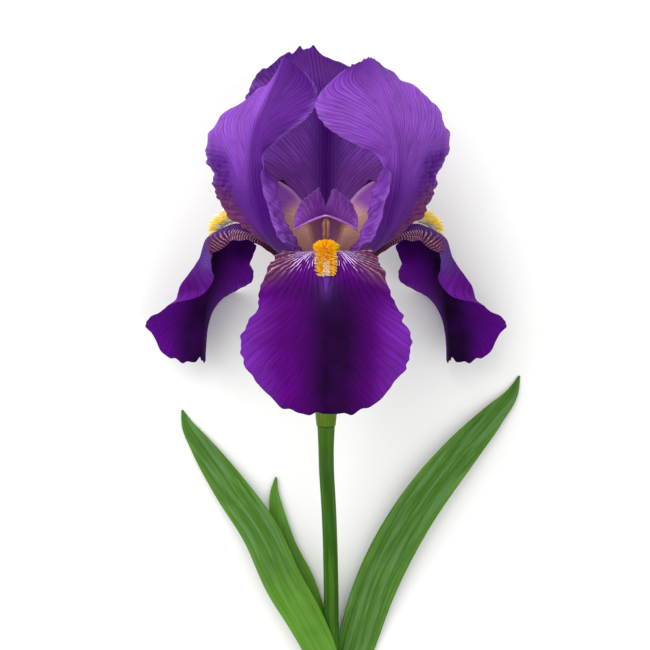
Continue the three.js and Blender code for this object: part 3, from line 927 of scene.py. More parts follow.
    def shell(self) -> Shell:
        """The whole blade in the bloom's frame.

        Returns:
            A closed thin body with its notes.
        """
        u, v = np.meshgrid(np.linspace(0, 1, self.steps[0] + 1), self.columns(), indexing="ij")
        grid = self.surface(u, v)
        q, a = self.reached(u, v), np.abs(v)
        rough = roughened(grid, 11.0, self.seed) + 0.6 * roughened(grid, 4.5, self.seed + 7)
        pleats = np.cos(2 * math.pi * self.flow(q, v)[..., 0] / self.pleat_veins)
        calm = ease(q, 0.08, 0.3)
        lift = calm * (self.crumple * rough * (0.4 + 0.6 * a) + self.pleat * pleats * ease(a, 0.3, 1.0))
        lift += self.puckers(grid, q, v, rough)
        grid = grid + grid_normals(grid) * lift[..., None]
        edge = np.maximum(ease(a, 0.8, 1.0), ease(u, 0.93, 1.0))
        half = (self.thick + (self.thin - self.thick) * edge) / 2
        wash, trim = self.tones(q, v)
        notes = {"place": xyz(v, q, v), "flow": self.flow(q, v), "wash": wash, "trim": trim}
        placed = BLOOM.to_row(turned(grid, self.azimuth, self.mirrored))
        lowest = 0.05
        placed[..., 2] = np.maximum(placed[..., 2], half + lowest)
        return Shell.sheet(placed, half, half, notes, self.mirrored)

    def columns(self) -> np.ndarray:
        """Grid places across, closer together toward the margins."""
        t = np.linspace(-1, 1, self.steps[1] + 1)
        return t * (1.15 - 0.15 * t * t)


CLAW_FOOT = -17.45


@dataclass(frozen=True)
class Fall(Tepal):
    """A fall: a haft that rises from the throat and a broad velvet blade that hangs from it.

    The striped haft ends at border, which slants by border_slant toward the margins. Its lanes cross
    the haft like rungs and beyond fan_at spread out from the midrib, one every fan_step degrees.
    """

    border: float = 0.44
    border_slant: float = 0.06
    fan_at: float = 0.375
    fan_out: float = 4.0
    fan_step: float = 6.4
    rung_mm: float = 2.4
    rung_slant: float = 0.12
    rung_bow: float = 0.0
    stripes_from: float = 0.02
    fade: float = 0.55
    pale_rim: float = 0.8
    painted_sheen: float = 0.0

    def flow(self, q: np.ndarray, v: np.ndarray) -> np.ndarray:
        """See Tepal. Lines leave the midrib like rungs along the haft and fan out over the shoulders."""
        flow = super().flow(q, v)
        across = np.abs(v) * self.halves(q, v)[0] - self.fan_out
        beyond = (q - self.fan_at) * self.length()
        widest = math.degrees(math.atan2(1, self.rung_slant))
        angle = np.degrees(np.arctan2(across, np.maximum(beyond, 1e-6)))
        bowed = self.rung_slant * across * (1 - self.rung_bow * np.abs(v))
        rungs = widest / self.fan_step + (bowed - beyond) / self.rung_mm
        flow[..., 1] = np.where(beyond > self.rung_slant * across, angle / self.fan_step, rungs)
        flow[..., 2] = 1 - ease(q, 0.5, 0.66)
        return flow

    def tones(self, q: np.ndarray, v: np.ndarray) -> tuple[np.ndarray, np.ndarray]:
        """See Tepal."""
        a = np.abs(v)
        deep = 1.1 * ease(q, 0.48, 0.66) * hump(v, 0.11, 0.43)
        deep = np.clip(deep + 0.4 * hump(q, 0.55, 0.06) * (1 - ease(a, 0.7, 0.95)), 0, 1)
        streak = hump(a, 0.0, 0.05) * plateau(q, 0.4, 0.5, 0.52, 0.62)
        glow = 0.2 * hump(a, 0.0, 0.18) * plateau(q, 0.2, 0.42, 0.5, 0.68) + 0.3 * streak
        # Painted sheen: a bluish band on the side falls' folded-over margins, seen at a grazing angle.
        painted_sheen = hump(a, 0.45 + 0.45 * ease(q, 0.42, 0.54), 0.32) * plateau(q, 0.32, 0.42, 0.54, 0.68)
        glow = glow + self.painted_sheen * painted_sheen
        claw = 1 - ease(q, 0.14, 0.24)
        margin = self.pale_rim * ease(a, 0.5, 1.0) * ease(q, 0.54, 0.7) + 0.55 * streak
        border = self.border + self.border_slant * a
        mauve = (1 - ease(q, border - 0.02, border + 0.07)) * ease(a, 0.35, 0.8)
        fading = 1 - self.fade * ease(a, 0.35, 0.8)
        stripe = (1 - ease(q, border - 0.05, border + 0.05)) * ease(q, 0.2, 0.3) * fading
        stripe = stripe * ease(a, self.stripes_from, self.stripes_from + 0.12)
        return xyz(deep, glow, claw), xyz(margin, mauve, stripe)


@dataclass(frozen=True)
class Standard(Tepal):
    """A standard: a narrow claw, then a broad silky blade that stands up and arches in.

    Its near half and its base are darkened by a share as painted shade, the glow, painted light on the
    upper blade, starts lower by the share lit, the rib is a dark stripe, its width a share of the half,
    and the base is rust-coloured up to rust. Where strip is 1, the claw has a pale strip on its near
    half, lit up as a painted highlight, and a crinkled lobe on its far one, dark in its own colour and
    with painted shade under its outer edge, with level veins level_mm apart and wrinkles wrinkle_mm
    apart; claw_crumple and wrinkle are in mm.
    """

    ruffle: float = 1.2
    pleat_veins: float = 2.3
    vein_mm: float = 2.4
    near_shade: float = 0.0
    base_shade: float = 0.75
    lit: float = 0.0
    rib_width: float = 0.1
    rib_dim: float = 0.9
    rust: float = 0.5
    rust_from: float = 0.25
    rust_depth: float = 0.8
    strip: float = 1.0
    level_mm: float = 1.8
    claw_crumple: float = 2.0
    wrinkle: float = 0.4
    wrinkle_mm: float = 3.2

    @staticmethod
    def lobe(q: np.ndarray, v: np.ndarray) -> np.ndarray:
        """How far a place lies in the crinkled lobe low on the far half."""
        return ease(-v, 0.3, 0.75) * (1 - ease(q, 0.54, 0.7))

    def flow(self, q: np.ndarray, v: np.ndarray) -> np.ndarray:
        """See Tepal. In the lobe fine veins run level, along its wrinkles."""
        flow = super().flow(q, v)
        lobe = self.strip * self.lobe(q, v) * ease(q, 0.3, 0.38)
        flow[..., 1] = np.where(lobe > 0, q * self.length() / self.level_mm, flow[..., 1])
        flow[..., 2] = np.where(lobe > 0, 1.6 * lobe, flow[..., 2])
        return flow

    def puckers(self, grid: np.ndarray, q: np.ndarray, v: np.ndarray, rough: np.ndarray) -> np.ndarray:
        """See Tepal. The wrinkles run across the lobe and are bent by the coarse heights."""
        fine = roughened(grid, 2.6, self.seed + 3)
        strip = ease(v, 0.35, 0.6) * plateau(q, 0.15, 0.25, 0.45, 0.55)
        lobe = ease(-v, 0.35, 0.65) * plateau(q, 0.3, 0.38, 0.57, 0.66)
        wrinkles = np.cos(2 * math.pi * (q * self.length() / self.wrinkle_mm + 1.3 * rough))
        lift = self.claw_crumple * fine * (strip + 0.5 * lobe) + self.wrinkle * lobe * wrinkles
        return self.strip * lift

    def tones(self, q: np.ndarray, v: np.ndarray) -> tuple[np.ndarray, np.ndarray]:
        """See Tepal."""
        a = np.abs(v)
        rib = self.rib_dim * hump(v, 0.0, self.rib_width) * (1 - ease(q, 0.7, 1.0))
        # Painted shade on the near half, which turns away from the light at the sharp fold of the midrib.
        shade = self.near_shade * ease(v, 0.0, 0.08)
        strip = self.strip * ease(v, 0.2, 0.5) * ease(q, 0.2, 0.33)
        # Painted shade low on the blade, deep in the throat, kept off the pale strip.
        low = self.base_shade * (1 - ease(q, 0.4, 0.78)) * (1 - 0.75 * strip)
        # The lobe is dark in its own colour and has painted shade under its outer edge; the narrow band just
        # above it is a painted shadow of the crimp.
        lobe = self.base_shade * (self.lobe(q, v) + 0.7 * hump(q, 0.6, 0.035) * ease(-v, 0.35, 0.6))
        tip = ease(q, 0.84, 1.0)
        deep = np.clip(rib + low + lobe + shade + 0.35 * tip, 0, 1)
        # Painted light on the upper blade where the light falls, none on the shaded near half or on the rib,
        # and a painted highlight on the claw's pale strip.
        lit = ease(q, 0.45 - self.lit, 0.8 - self.lit) * (1 - 0.9 * tip) * (1 - 0.8 * lobe)
        glow = 0.8 * lit * (1 - shade) * (1 - rib) + 0.55 * strip * (1 - ease(q, 0.45, 0.6))
        claw = np.maximum(1 - ease(q, 0.14, 0.26), 0.5 * (1 - ease(q, 0.2, 0.42)) * (1 - ease(v, 0.1, 0.4)))
        margin = 0.4 * ease(a, 0.85, 1.0)
        rusty = 1 - ease(q - 0.06 * self.strip * ease(-v, 0.3, 0.7), self.rust - 0.12, self.rust)
        mauve = self.rust_depth * rusty * ease(a, self.rust_from, self.rust_from + 0.5) * (1 - 0.85 * strip)
        return xyz(deep, glow, claw), xyz(margin, mauve, 0)


@dataclass(frozen=True)
class StyleArm(Tepal):
    """An arm of the style, which arches over a stamen and ends in a two-lobed crest.

    It is tan from tan_from outward up to tan_until along, and purple within purple_half of its rib.
    """

    tip: Tip = Tip(scallop=0.0)
    steps: tuple[int, int] = (60, 50)
    thick: float = 0.6
    thin: float = 0.3
    crumple: float = 0.08
    pleat: float = 0.0
    frill: float = 0.0
    scallop: float = 0.0
    vein_mm: float = 3.0
    tan_from: float = -0.3
    tan_until: float = 0.66
    purple_half: float = 0.45
    crest_height: tuple[Row, Row] = ((0, 0.1, 0.21, 0.3, 0.5, 0.8, 1), (3.0, 6.6, 10.8, 10.4, 9.4, 8.4, 4.6))
    crest_scale: float = 1.0
    crest_root: float = 0.965
    crest_sink: float = 0.8
    crest_lean: float = 1.4
    crest_steps: tuple[int, int] = (26, 90)

    def tones(self, q: np.ndarray, v: np.ndarray) -> tuple[np.ndarray, np.ndarray]:
        """See Tepal."""
        a = np.abs(v)
        glow = np.maximum(0.9 * hump(a, 0.0, self.purple_half), ease(q, 0.82, 0.94))
        tan = ease(a, self.tan_from, self.tan_from + 0.3)
        tan = tan * (1 - ease(q, self.tan_until - 0.1, self.tan_until + 0.1))
        # Painted highlight: paler along the lit ridge, on the margins near the crest and at the bend under
        # it.
        ridge_highlight = 0.85 * np.maximum(hump(a, 0.0, 0.09), ease(a, 0.94, 1.0) * ease(q, 0.6, 0.9))
        ridge_highlight = np.maximum(ridge_highlight, 0.2 * ease(q, 0.91, 0.98))
        return xyz(0, glow, tan), xyz(ridge_highlight, 0, 0)

    def crest(self) -> Shell:
        """The crest: two lobes that stand up from the end of the arm.

        Returns:
            A closed thin body with its notes, in the row frame.
        """
        t, v = np.meshgrid(*[np.linspace(low, 1, steps + 1) for low, steps in zip((0, -1), self.crest_steps)],
                           indexing="ij")
        a = np.abs(v)
        jags = 0.03 * np.sin(47 * v) + 0.035 * np.sin(83 * v + 1)
        height = self.crest_scale * np.interp(a, *self.crest_height) * (1 + jags)
        foot = self.surface(np.full_like(v, self.crest_root), v)
        ripple = 0.35 * t * np.sin(26 * v + 2 * t) + 0.2 * t * np.sin(60 * v)
        lean = self.crest_lean * np.sin(math.pi * t) - t * t * a + ripple
        grid = turned(foot + xyz(0, -self.crest_sink + (height + self.crest_sink) * t, lean), self.azimuth)
        fan = v * (1 - 0.45 * t)
        ray = 2 * math.pi * fan
        lines = (0.1 * np.cos(11 * ray) + 0.13 * np.cos(19 * ray + 1.7)) * ease(t, 0.0, 0.3)
        deep = 0.8 + 0.35 * hump(a, 0, 0.35) + 0.15 * ease(t, 0.3, 0.9) - 0.35 * ease(a, 0.7, 1.0) + lines
        notes = {"place": xyz(v, t, v), "flow": xyz(15 * fan, 45 * fan, 0),
                 "wash": xyz(np.clip(deep, 0, 1), 0, 0), "trim": xyz(0.2 * ease(t, 0.95, 1.0), 0, 0)}
        half = np.interp(t, (0, 0.6, 1), (0.32, 0.25, 0.12))
        shell = Shell.sheet(BLOOM.to_row(grid), half, half, notes)
        shell.notes["place"][:, 2] = 1
        return shell


@dataclass(frozen=True)
class Beard:
    """The beard of a fall: soft thick hairs on a low fleshy ridge down its middle.

    Hairs stand on the span of the fall's length, as far as half mm from its middle, which narrows by
    taper toward the open end. There they splay, part down the middle and thin out at the sides.
    """

    fall: Fall
    span: tuple[float, float] = (0.16, 0.52)
    half: float = 3.6
    ridge: float = 1.3
    hairs: int = 2300
    radius: tuple[float, float] = (0.17, 0.09)
    length: tuple[float, float] = (1.9, 3.5)
    forward: float = 0.5
    swelling: float = 1.0
    parting: float = 1.0
    taper: float = 0.45
    thinning: float = 0.5
    seed: int = 7

    @classmethod
    def on(cls, fall: Fall) -> "Beard":
        """The beard of a fall; a side fall's is seen in profile, so it is higher and shaggier."""
        return cls(fall) if fall.azimuth == 0 else cls(
            fall, half=2.8, ridge=3.2, hairs=1700, radius=(0.24, 0.14), length=(2.4, 6.6), forward=1.5,
            swelling=0.68, parting=0.0, taper=0.2, thinning=0.0)

    def over(self, u: np.ndarray, s: np.ndarray) -> np.ndarray:
        """Points of the fall at a share s of the beard's half-width, which narrows toward its end."""
        along = (u - self.span[0]) / (self.span[1] - self.span[0])
        half = self.half * (1 - self.taper * ease(along, 0.5, 0.8))
        return self.fall.surface(u, s * half / self.fall.row(self.fall.near.half)(u))

    def full(self, u: np.ndarray) -> np.ndarray:
        """How far the ridge has its full height at u: it runs out at both ends."""
        first, last = self.span
        return plateau(u, first, first + 0.02, last - 0.06, last - 0.005)

    def core(self) -> Shell:
        """The ridge that carries the hairs, in the petal's frame."""
        u, s = np.meshgrid(np.linspace(*self.span, 60), np.linspace(-1, 1, 25), indexing="ij")
        above = 0.1 + (0.2 + self.ridge * (1 - s * s)) * self.full(u)
        place = xyz(0.3, (u - self.span[0]) / (self.span[1] - self.span[0]), s)
        notes = {"place": place, "spread": xyz(np.abs(s), 0, 0)}
        shell = Shell.sheet(self.over(u, s), above, np.full_like(u, 0.05), notes)
        shell.notes["place"][:, 2] = 0.5
        return shell

    def threads(self) -> Shell:
        """The hairs, each bent a little and tapering to a blunt tip, in the petal's frame.

        Returns:
            All hairs as one shell.
        """
        draw = np.random.default_rng(self.seed)
        along = draw.permutation((np.arange(self.hairs) + 0.5) / self.hairs)
        side = draw.uniform(-0.9, 0.9, self.hairs)
        sparse = self.thinning * ease(along, 0.5, 0.75) * ease(np.abs(side), 0.2, 0.5)
        kept = draw.uniform(0, 1, self.hairs) > sparse
        along, side, count = along[kept], side[kept], int(kept.sum())
        u = self.span[0] + (self.span[1] - self.span[0]) * (0.02 + 0.94 * along)
        step, sidestep = 0.004, 0.05
        forward = unit(self.over(u + step, side) - self.over(u - step, side))
        across = unit(self.over(u, side + sidestep) - self.over(u, side - sidestep))
        normal = np.cross(forward, across)
        scatter = draw.normal(0, 0.16, (count, 3))
        opened = ease(along, 0.6, 0.85)
        splay = side * (0.75 + 1.4 * opened)
        lean = 0.1 + self.forward * along
        aim = unit(normal + across * splay[:, None] + forward * lean[:, None] + scatter)
        swell = np.sin(math.pi * np.minimum(1, self.swelling * along + 0.1)) * (1 - 0.55 * side * side)
        parted = 0.6 - hump(side, 0, 0.4)
        swell = swell + self.parting * opened * parted * (1 - ease(along, 0.92, 1.0))
        length = (self.length[0] + (self.length[1] - self.length[0]) * swell) * draw.uniform(0.8, 1.05, count)
        rise = 0.1 + self.ridge * (1 - side * side) * self.full(u)
        start = self.over(u, side) + normal * rise[:, None]
        droop = forward * 0.12 + across * side[:, None] * 0.15
        levels = np.array([0.0, 0.5, 0.92, 1.0])
        radii = np.interp(levels, (0, 0.92, 1), (*self.radius, 0.04))
        any_way = np.array([0.3, 0.2, 0.1])
        first = unit(np.cross(aim, normal + any_way))
        second = np.cross(aim, first)
        sides = 4
        turn = round_angles(sides)
        spokes = first[:, None] * np.cos(turn)[:, None] + second[:, None] * np.sin(turn)[:, None]
        middle = (start[:, None] + aim[:, None] * (length[:, None] * levels)[..., None]
                  + droop[:, None] * (length[:, None] * levels ** 2)[..., None])
        rings = middle[:, :, None] + spokes[:, None] * radii[None, :, None, None]
        at = np.arange(len(levels) * sides).reshape(len(levels), sides)
        one = np.concatenate([ring_faces(at), at[-1:], at[:1, ::-1]])
        faces = (one[None] + (np.arange(count) * at.size)[:, None, None]).reshape(-1, 4)
        chance = draw.uniform(0, 1, count)
        place = xyz(np.repeat(levels, sides), along[:, None], chance[:, None]).reshape(-1, 3)
        spread = xyz(np.repeat(np.abs(side), at.size), 0, 0)
        return Shell(rings.reshape(-1, 3), faces, {"place": place, "spread": spread})

    def shell(self) -> Shell:
        """The whole beard in the row frame."""
        whole = Shell.joined([self.core(), self.threads()])
        whole.points = BLOOM.to_row(turned(whole.points, self.fall.azimuth, self.fall.mirrored))
        if self.fall.mirrored:
            whole.faces = whole.faces[:, ::-1]
        return whole


@dataclass(frozen=True)
class Stamen:
    """A stamen: a filament from the foot of its fall and a long anther of two joined sacs."""

    azimuth: float
    filament: tuple[Row, ...] = ((3.45, -17.4), (6, -9), (9.5, 0), (13.5, 6), (16, 8.8))
    filament_radius: Row = (0.75, 0.7, 0.65, 0.6, 0.5)
    anther: tuple[Row, ...] = ((15.9, 8.2), (16.6, 9.4), (18.4, 13), (20.1, 16.8), (20.4, 17.6))
    anther_radius: Row = (0.4, 1.1, 1.3, 1.1, 0.4)

    def limb(self, pairs: Sequence[Row], radii: Row, steps: int, furrow: float) -> Shell:
        """One round limb in the row frame.

        Args:
            pairs: Out and up of each point.
            radii: The radius at each.
            steps: How many steps it is made in.
            furrow: Depth of the furrow along it, as a share of the radius.

        Returns:
            The limb.
        """
        line = np.array([[0, up, out] for out, up in pairs], float)
        stations, q = length_stations(line), np.linspace(0, 1, steps)
        sides = 20
        lobes = 1 - furrow * np.abs(np.sin(round_angles(sides))) ** 6 * np.ones((steps, 1))
        placed = BLOOM.to_row(turned(SmoothRow(stations, line)(q), self.azimuth))
        return Shell.tube(placed, SmoothRow(stations, radii)(q), sides, lobes)

    def shell(self) -> Shell:
        """Filament and anther as one."""
        return Shell.joined([self.limb(self.filament, self.filament_radius, 40, 0.0),
                             self.limb(self.anther, self.anther_radius, 40, 0.6)])


@dataclass(frozen=True)
class Ovary:
    """The ovary and the tube over it, softly three-cornered, with a ring where the stem begins."""

    profile: tuple[Row, ...] = ((0, -69), (3.9, -69), (4.6, -62), (5.3, -55), (4.9, -47), (3.6, -40),
                                (3.2, -31), (3.9, -23), (5.3, -18), (0, -18))
    lap: float = 1.3

    def shell(self) -> Shell:
        """The ovary and tube in the row frame."""
        ring = np.array(self.profile[1:-1], float)
        ring[-1, 1] += self.lap
        radius, up = SmoothRow(length_stations(ring), ring)(np.linspace(0, 1, 110)).T
        sides = 72
        angle = round_angles(sides)
        belly = hump(up, -54, 9)[:, None]
        lobes = 1 + 0.05 * belly * (np.cos(3 * angle) - 0.4 * np.abs(np.cos(1.5 * angle)) ** 8)
        shell = Shell.tube(BLOOM.to_row(xyz(0, up, 0)), radius, sides, lobes)
        around = shell.notes["place"][:, 1] * 4.5
        heights = np.concatenate([np.repeat(up, sides), up[:1], up[-1:]])
        shell.notes["flow"] = xyz(around, heights, 0.5)
        return shell


@dataclass(frozen=True)
class Stem:
    """The cut stem, round and waxy, from under the ovary to the cut end."""

    on_axis: Row = (-69.3, -76.0)
    below: tuple[Row, ...] = ((0.6, -59.3, 31), (1.5, -75.3, 22.5), (2.1, -91.1, 14.5), (2.5, -110.4, 8.2),
                              (2.7, -131.9, 5.6), (3.2, -151.7, 4.8))
    radius: Row = (3.55, 3.25, 3.1, 3.05, 3.05, 3.1, 3.15, 3.2)

    def shell(self) -> Shell:
        """The stem in the row frame."""
        top = BLOOM.to_row(np.array([[0, h, 0] for h in self.on_axis], float))
        line = np.concatenate([top, np.array(self.below, float)])
        stations, q = length_stations(line), np.linspace(0, 1, 140)
        sides, ribs = 48, 7
        lobes = 1 + 0.012 * np.cos(ribs * round_angles(sides)) * np.ones((len(q), 1))
        shell = Shell.tube(SmoothRow(stations, line)(q), SmoothRow(stations, self.radius)(q), sides, lobes)
        share, around, _ = shell.notes["place"].T
        shell.notes["flow"] = xyz(around * 3.1, share * 90, 0.5 * hump(share, 0, 0.1))
        return shell


@dataclass(frozen=True)
class Leaf:
    """A sword leaf, from the tip to the cut end, cupped a little, with long parallel ribs."""

    name: str
    line: tuple[Row, ...]
    half: Row
    turn: Row
    thick: float = 0.7
    thin: float = 0.3
    young: float = 0.0
    young_all: float = 0.0
    rib_mm: float = 2.4
    rib_height: float = 0.09

    def shell(self) -> Shell:
        """The leaf in the row frame.

        Returns:
            A closed thin body whose notes give mm across, mm along and how yellow-green it is.
        """
        line = np.array(self.line, float)
        stations = length_stations(line)
        u, v = np.meshgrid(np.linspace(0, 1, 181), np.linspace(-1, 1, 41), indexing="ij")
        q = u[:, 0]
        middle, along = SmoothRow(stations, line).read(q)
        along = unit(along)
        side = unit(np.cross(along, [0, 0, 1]))
        rise = np.cross(side, along)
        width = SmoothRow(stations, self.half)(q)[:, None]
        turn = np.radians(SmoothRow(stations, self.turn)(q))[:, None]
        a = np.abs(v)
        across, lift, _ = bent_section(0 * turn, turn, 0 * turn, a)
        ribs = np.cos(2 * math.pi * v * width / self.rib_mm) * ease(width, 1.5, 4) * (1 - ease(a, 0.8, 1))
        lift = lift * width + self.rib_height * ribs
        grid = (middle[:, None] + side[:, None] * (across * width * np.sign(v))[..., None]
                + rise[:, None] * lift[..., None])
        half = (self.thick + (self.thin - self.thick) * ease(a, 0.5, 1.0)) / 2
        lowest = 0.02
        grid[..., 2] = np.maximum(grid[..., 2], half + lowest)
        length = np.linalg.norm(np.diff(line, axis=0), axis=1).sum()
        young = 0.35 * ease(a, 0.6, 1.0) + self.young * ease(u, 0.45, 0.8) + self.young_all
        return Shell.sheet(grid, half, half, {"flow": xyz(v * width, u * length, np.clip(young, 0, 1))})


@dataclass(frozen=True)
class Bloom:
    """The bloom: falls with beards and stamens, standards, and the style between them."""

    falls: tuple[Fall, ...]
    standards: tuple[Standard, ...]
    arms: tuple[StyleArm, ...]
    column: tuple[Row, ...] = ((0.05, -17.7), (2.3, -17.7), (2, -12), (2.4, -6), (2.6, -2), (0.05, 0))

    def build(self, stand: Stand) -> None:
        """Builds and dresses every piece of the bloom.

        Args:
            stand: Where the flower stands.
        """
        velvet, silk, lilac = FALL_VELVET.material(), STANDARD_SILK.material(), STYLE_LILAC.material()
        hair, side_hair, pollen = BEARD_HAIR.material(), SIDE_HAIR.material(), POLLEN.material()
        for fall in self.falls:
            seat(stand.make(f"{fall.name}_blade", fall.shell(), velvet), fall.name, Slot.FALL)
            side = fall.name.split("_")[1]
            finish = side_hair if fall.azimuth else hair
            beard = stand.make(f"beard_{side}_hairs", Beard.on(fall).shell(), finish)
            seat(beard, f"beard_{side}", Slot.BEARD)
            stamen = stand.make(f"stamen_{side}_anther", Stamen(fall.azimuth).shell(), pollen)
            seat(stamen, f"stamen_{side}", Slot.STAMEN)
        for standard in self.standards:
            seat(stand.make(f"{standard.name}_blade", standard.shell(), silk), standard.name, Slot.STANDARD)
        seat(stand.make("style_arms", self.style(), lilac), "style", Slot.STYLE)

    def style(self) -> Shell:
        """The style in the row frame: three arms with crests on a short column."""
        pairs = np.array(self.column, float)
        radius, up = SmoothRow(length_stations(pairs), pairs)(np.linspace(0, 1, 30)).T
        column = Shell.tube(BLOOM.to_row(xyz(0, up, 0)), np.maximum(radius, 0.05), 24)
        plain = np.zeros((len(column.points), 3))
        column.notes.update(flow=plain, wash=plain, trim=plain)
        blades = [shell for arm in self.arms for shell in (arm.shell(), arm.crest())]
        return Shell.joined([column, *blades])


@dataclass(frozen=True)
class Studio:
    """A plain pale floor, soft light from above, and the camera straight over the flower."""

    camera_height: float = 950.0
    row_height: float = 50.0
    view_width: float = 260.0
    sensor: float = 36.0
    sky: float = 0.8

    def build(self, stand: Stand) -> None:
        """Builds floor, lights and camera.

        Args:
            stand: Where the flower stands.
        """
        scene = bpy.context.scene
        self.floor()
        self.light("key", at=(-0.7, 0.6, 0.9), size=1.4, power=14.0)
        self.light("fill", at=(0.6, -0.3, 0.9), size=1.0, power=3.0)
        world = bpy.data.worlds.new("studio")
        world.use_nodes = True
        sky = world.node_tree.nodes["Background"]
        sky.inputs[0].default_value = (1, 1, 1, 1)
        sky.inputs[1].default_value = self.sky
        scene.world = world
        camera = bpy.data.objects.new("camera", bpy.data.cameras.new("camera"))
        camera.location = (stand.shift[0] * MM, stand.shift[1] * MM, self.camera_height * MM)
        camera.data.sensor_width = self.sensor
        camera.data.lens = self.sensor * (self.camera_height - self.row_height) / self.view_width
        scene.collection.objects.link(camera)
        scene.camera = camera
        scene.view_settings.view_transform = "Standard"
        LOG.info("studio: floor, two lights, camera %.0f mm up", self.camera_height)

    @staticmethod
    def floor() -> None:
        """The floor: a paper sweep that droops toward its far edges."""
        half_width, count, flat_to, droop = 3.0, 41, 1.2, 0.02
        x, y = np.meshgrid(*[np.linspace(-half_width, half_width, count)] * 2, indexing="ij")
        away = np.maximum(np.hypot(x, y) - flat_to, 0)
        faces = grid_faces(np.arange(x.size).reshape(x.shape))
        points = xyz(x, y, -droop * away ** 2).reshape(-1, 3)
        add_mesh("floor", points, faces.tolist(), PAPER.material())

    @staticmethod
    def light(name: str, at: tuple[float, float, float], size: float, power: float) -> None:
        """Adds a soft light that looks at the bloom.

        Args:
            name: Its name.
            at: Its place in metres.
            size: The width of its panel in metres.
            power: Its power in watts.
        """
        lamp = bpy.data.objects.new(name, bpy.data.lights.new(name, "AREA"))
        lamp.data.energy, lamp.data.size = power, size
        lamp.location = at
        lamp.rotation_mode = "QUATERNION"
        bloom = Vector((0, 0.03, 0.05))
        lamp.rotation_quaternion = (bloom - Vector(at)).to_track_quat("-Z", "Y")
        bpy.context.scene.collection.objects.link(lamp)


# Fall glow colour: the blue below the beard, and the painted sheen on the side falls' bands.
FALL_VELVET = TepalSkin("fall_petal_velvet", roughness=0.7, specular=0.05, sheen=0.03,
                        sheen_tint="#8a4ad0", inner="#560274", outer="#5a0684", deep="#180226",
                        glow="#54428c", margin="#7029a0", mauve="#643056", stripe_far="#c49aa4",
                        claw="#6b5a2a", vein="#1a022a", kink=0.8, lane_depth=0.7)
# The standards' glow colour is their painted light.
STANDARD_SILK = TepalSkin(
    "standard_petal_silk", roughness=0.6, specular=0.1, sheen=0.03, sheen_tint="#c8a0f0",
    inner="#70309c", outer="#722ea2", deep="#460a70", glow="#9452c8", margin="#9a64cc", mauve="#6a2e50",
    claw="#4c3444", vein="#2e0454", vein_depth=0.8, fork_depth=0.6, lane_depth=0.55,
    outside=1.0)
STYLE_LILAC = TepalSkin(
    "style_arm_lilac", roughness=0.5, specular=0.15, sheen=0.03, sheen_tint="#e0c0ff",
    inner="#a458cc", outer="#e4aaa4", deep="#4c1466", glow="#9448a8", margin="#cc9ccc", mauve="#d0a080",
    claw="#fcc0a8", vein="#3c1060", vein_depth=0.2, fork_depth=0.1, sheen_streaks=0.12, lane_depth=0.08,
    outside=1.0)
BEARD_HAIR = HairFinish("beard_soft_hair", roughness=0.6, specular=0.05)
SIDE_HAIR = HairFinish("side_beard_soft_hair", roughness=0.6, specular=0.05, throat_tip="#ffd014",
                       throat_root="#fff0b0", open_tip="#ffdc28", open_root="#fffaf0", opens=(0.3, 0.6))
POLLEN = PollenFinish("anther_pollen_powder", roughness=0.9)
OVARY_SKIN = GreenSkin("ovary_green_skin", roughness=0.45, body="#385a04", wax="#4e7018", fresh="#56760e")
STEM_SKIN = GreenSkin("stem_waxy_skin", roughness=0.4, body="#285200", wax="#3a680e", fresh="#447008",
                      fibre="#4c7a24", fibre_depth=0.25)
LEAF_SKIN = GreenSkin("leaf_waxy_blade", roughness=0.45, body="#3a6716", wax="#527b40", fresh="#588c20")
PAPER = StudioFinish("paper_sweep", roughness=0.9)

FRONT_TURN = (30, 20, 15, 12, -12, -14, -25, -25, -12, 0, 5, 5)
SIDE_FALL: dict[str, object] = {
    "out": (4.8, 12, 21, 31, 40, 47, 51.5, 54.5, 57.3, 59, 60.2, 60.4),
    "up": (CLAW_FOOT, -9.6, 0.4, 7.8, 10.5, 7.5, -2.4, -14, -26, -37, -45, -49.5),
    "far": Half(half=(2.6, 7, 10, 11, 12, 16, 15.5, 19.5, 25, 20.5, 17, 14),
                crease=(0, 0, 0, 0, 0, -3, -30, -18, 3, 2, -5, -8),
                turn=(30, 20, -30, -60, -78, -80, -62, -22, 28, 90, 95, 85)),
    "near": Half(half=(2.6, 7, 10, 12, 14, 24, 25, 28.5, 19, 24.5, 22.5, 20),
                 crease=(0, 0, 0, 0, 5, 5, 0, 16, 50, 74, 74, 68),
                 turn=(30, 20, 12, -25, -75, -40, -10, -10, -20, -8, -5, 0),
                 fold=(0, 0, 0, 0, 0, -30, -60, -128, -20, 0, 0, 0)),
    "tip": Tip(drop=0.1, power=4, notch=0.03), "ruffle": 0.8, "frill": 0.3, "crumple": 0.25,
    "border": 0.37, "border_slant": 0.13, "fan_at": 0.6, "fan_out": 0.0, "fan_step": 5.2,
    "rung_mm": 1.15, "rung_slant": 0.9, "rung_bow": 1.0, "stripes_from": 0.48, "fade": 0.5,
    "pale_rim": 0.45, "painted_sheen": 0.7}
FALLS = (
    Fall("fall_front", 0, out=(4.8, 12, 20, 28, 36, 44, 50, 53.5, 56, 58, 58.5, 58),
         up=(CLAW_FOOT, -9.5, -2, 4.5, 6.8, 3, -5, -15, -26, -37, -46, -52),
         far=Half((2.6, 7, 12, 16.8, 20, 21.8, 26.4, 29.3, 32.5, 29.6, 27.5, 26), FRONT_TURN),
         near=Half((2.6, 7, 12, 16.8, 20, 21.2, 25.2, 30.6, 32.2, 29.6, 27.5, 26), FRONT_TURN),
         tip=Tip(drop=0.172, power=3.6, notch=0.008), ruffle=1.2,
         pinches=(Pinch(-1, 0.62, 1.5), Pinch(1, 0.67, 1.3)), seed=1.0),
    Fall("fall_left", -120, seed=2.0, **SIDE_FALL),
    Fall("fall_right", 120, seed=3.0, mirrored=True, **SIDE_FALL),
)

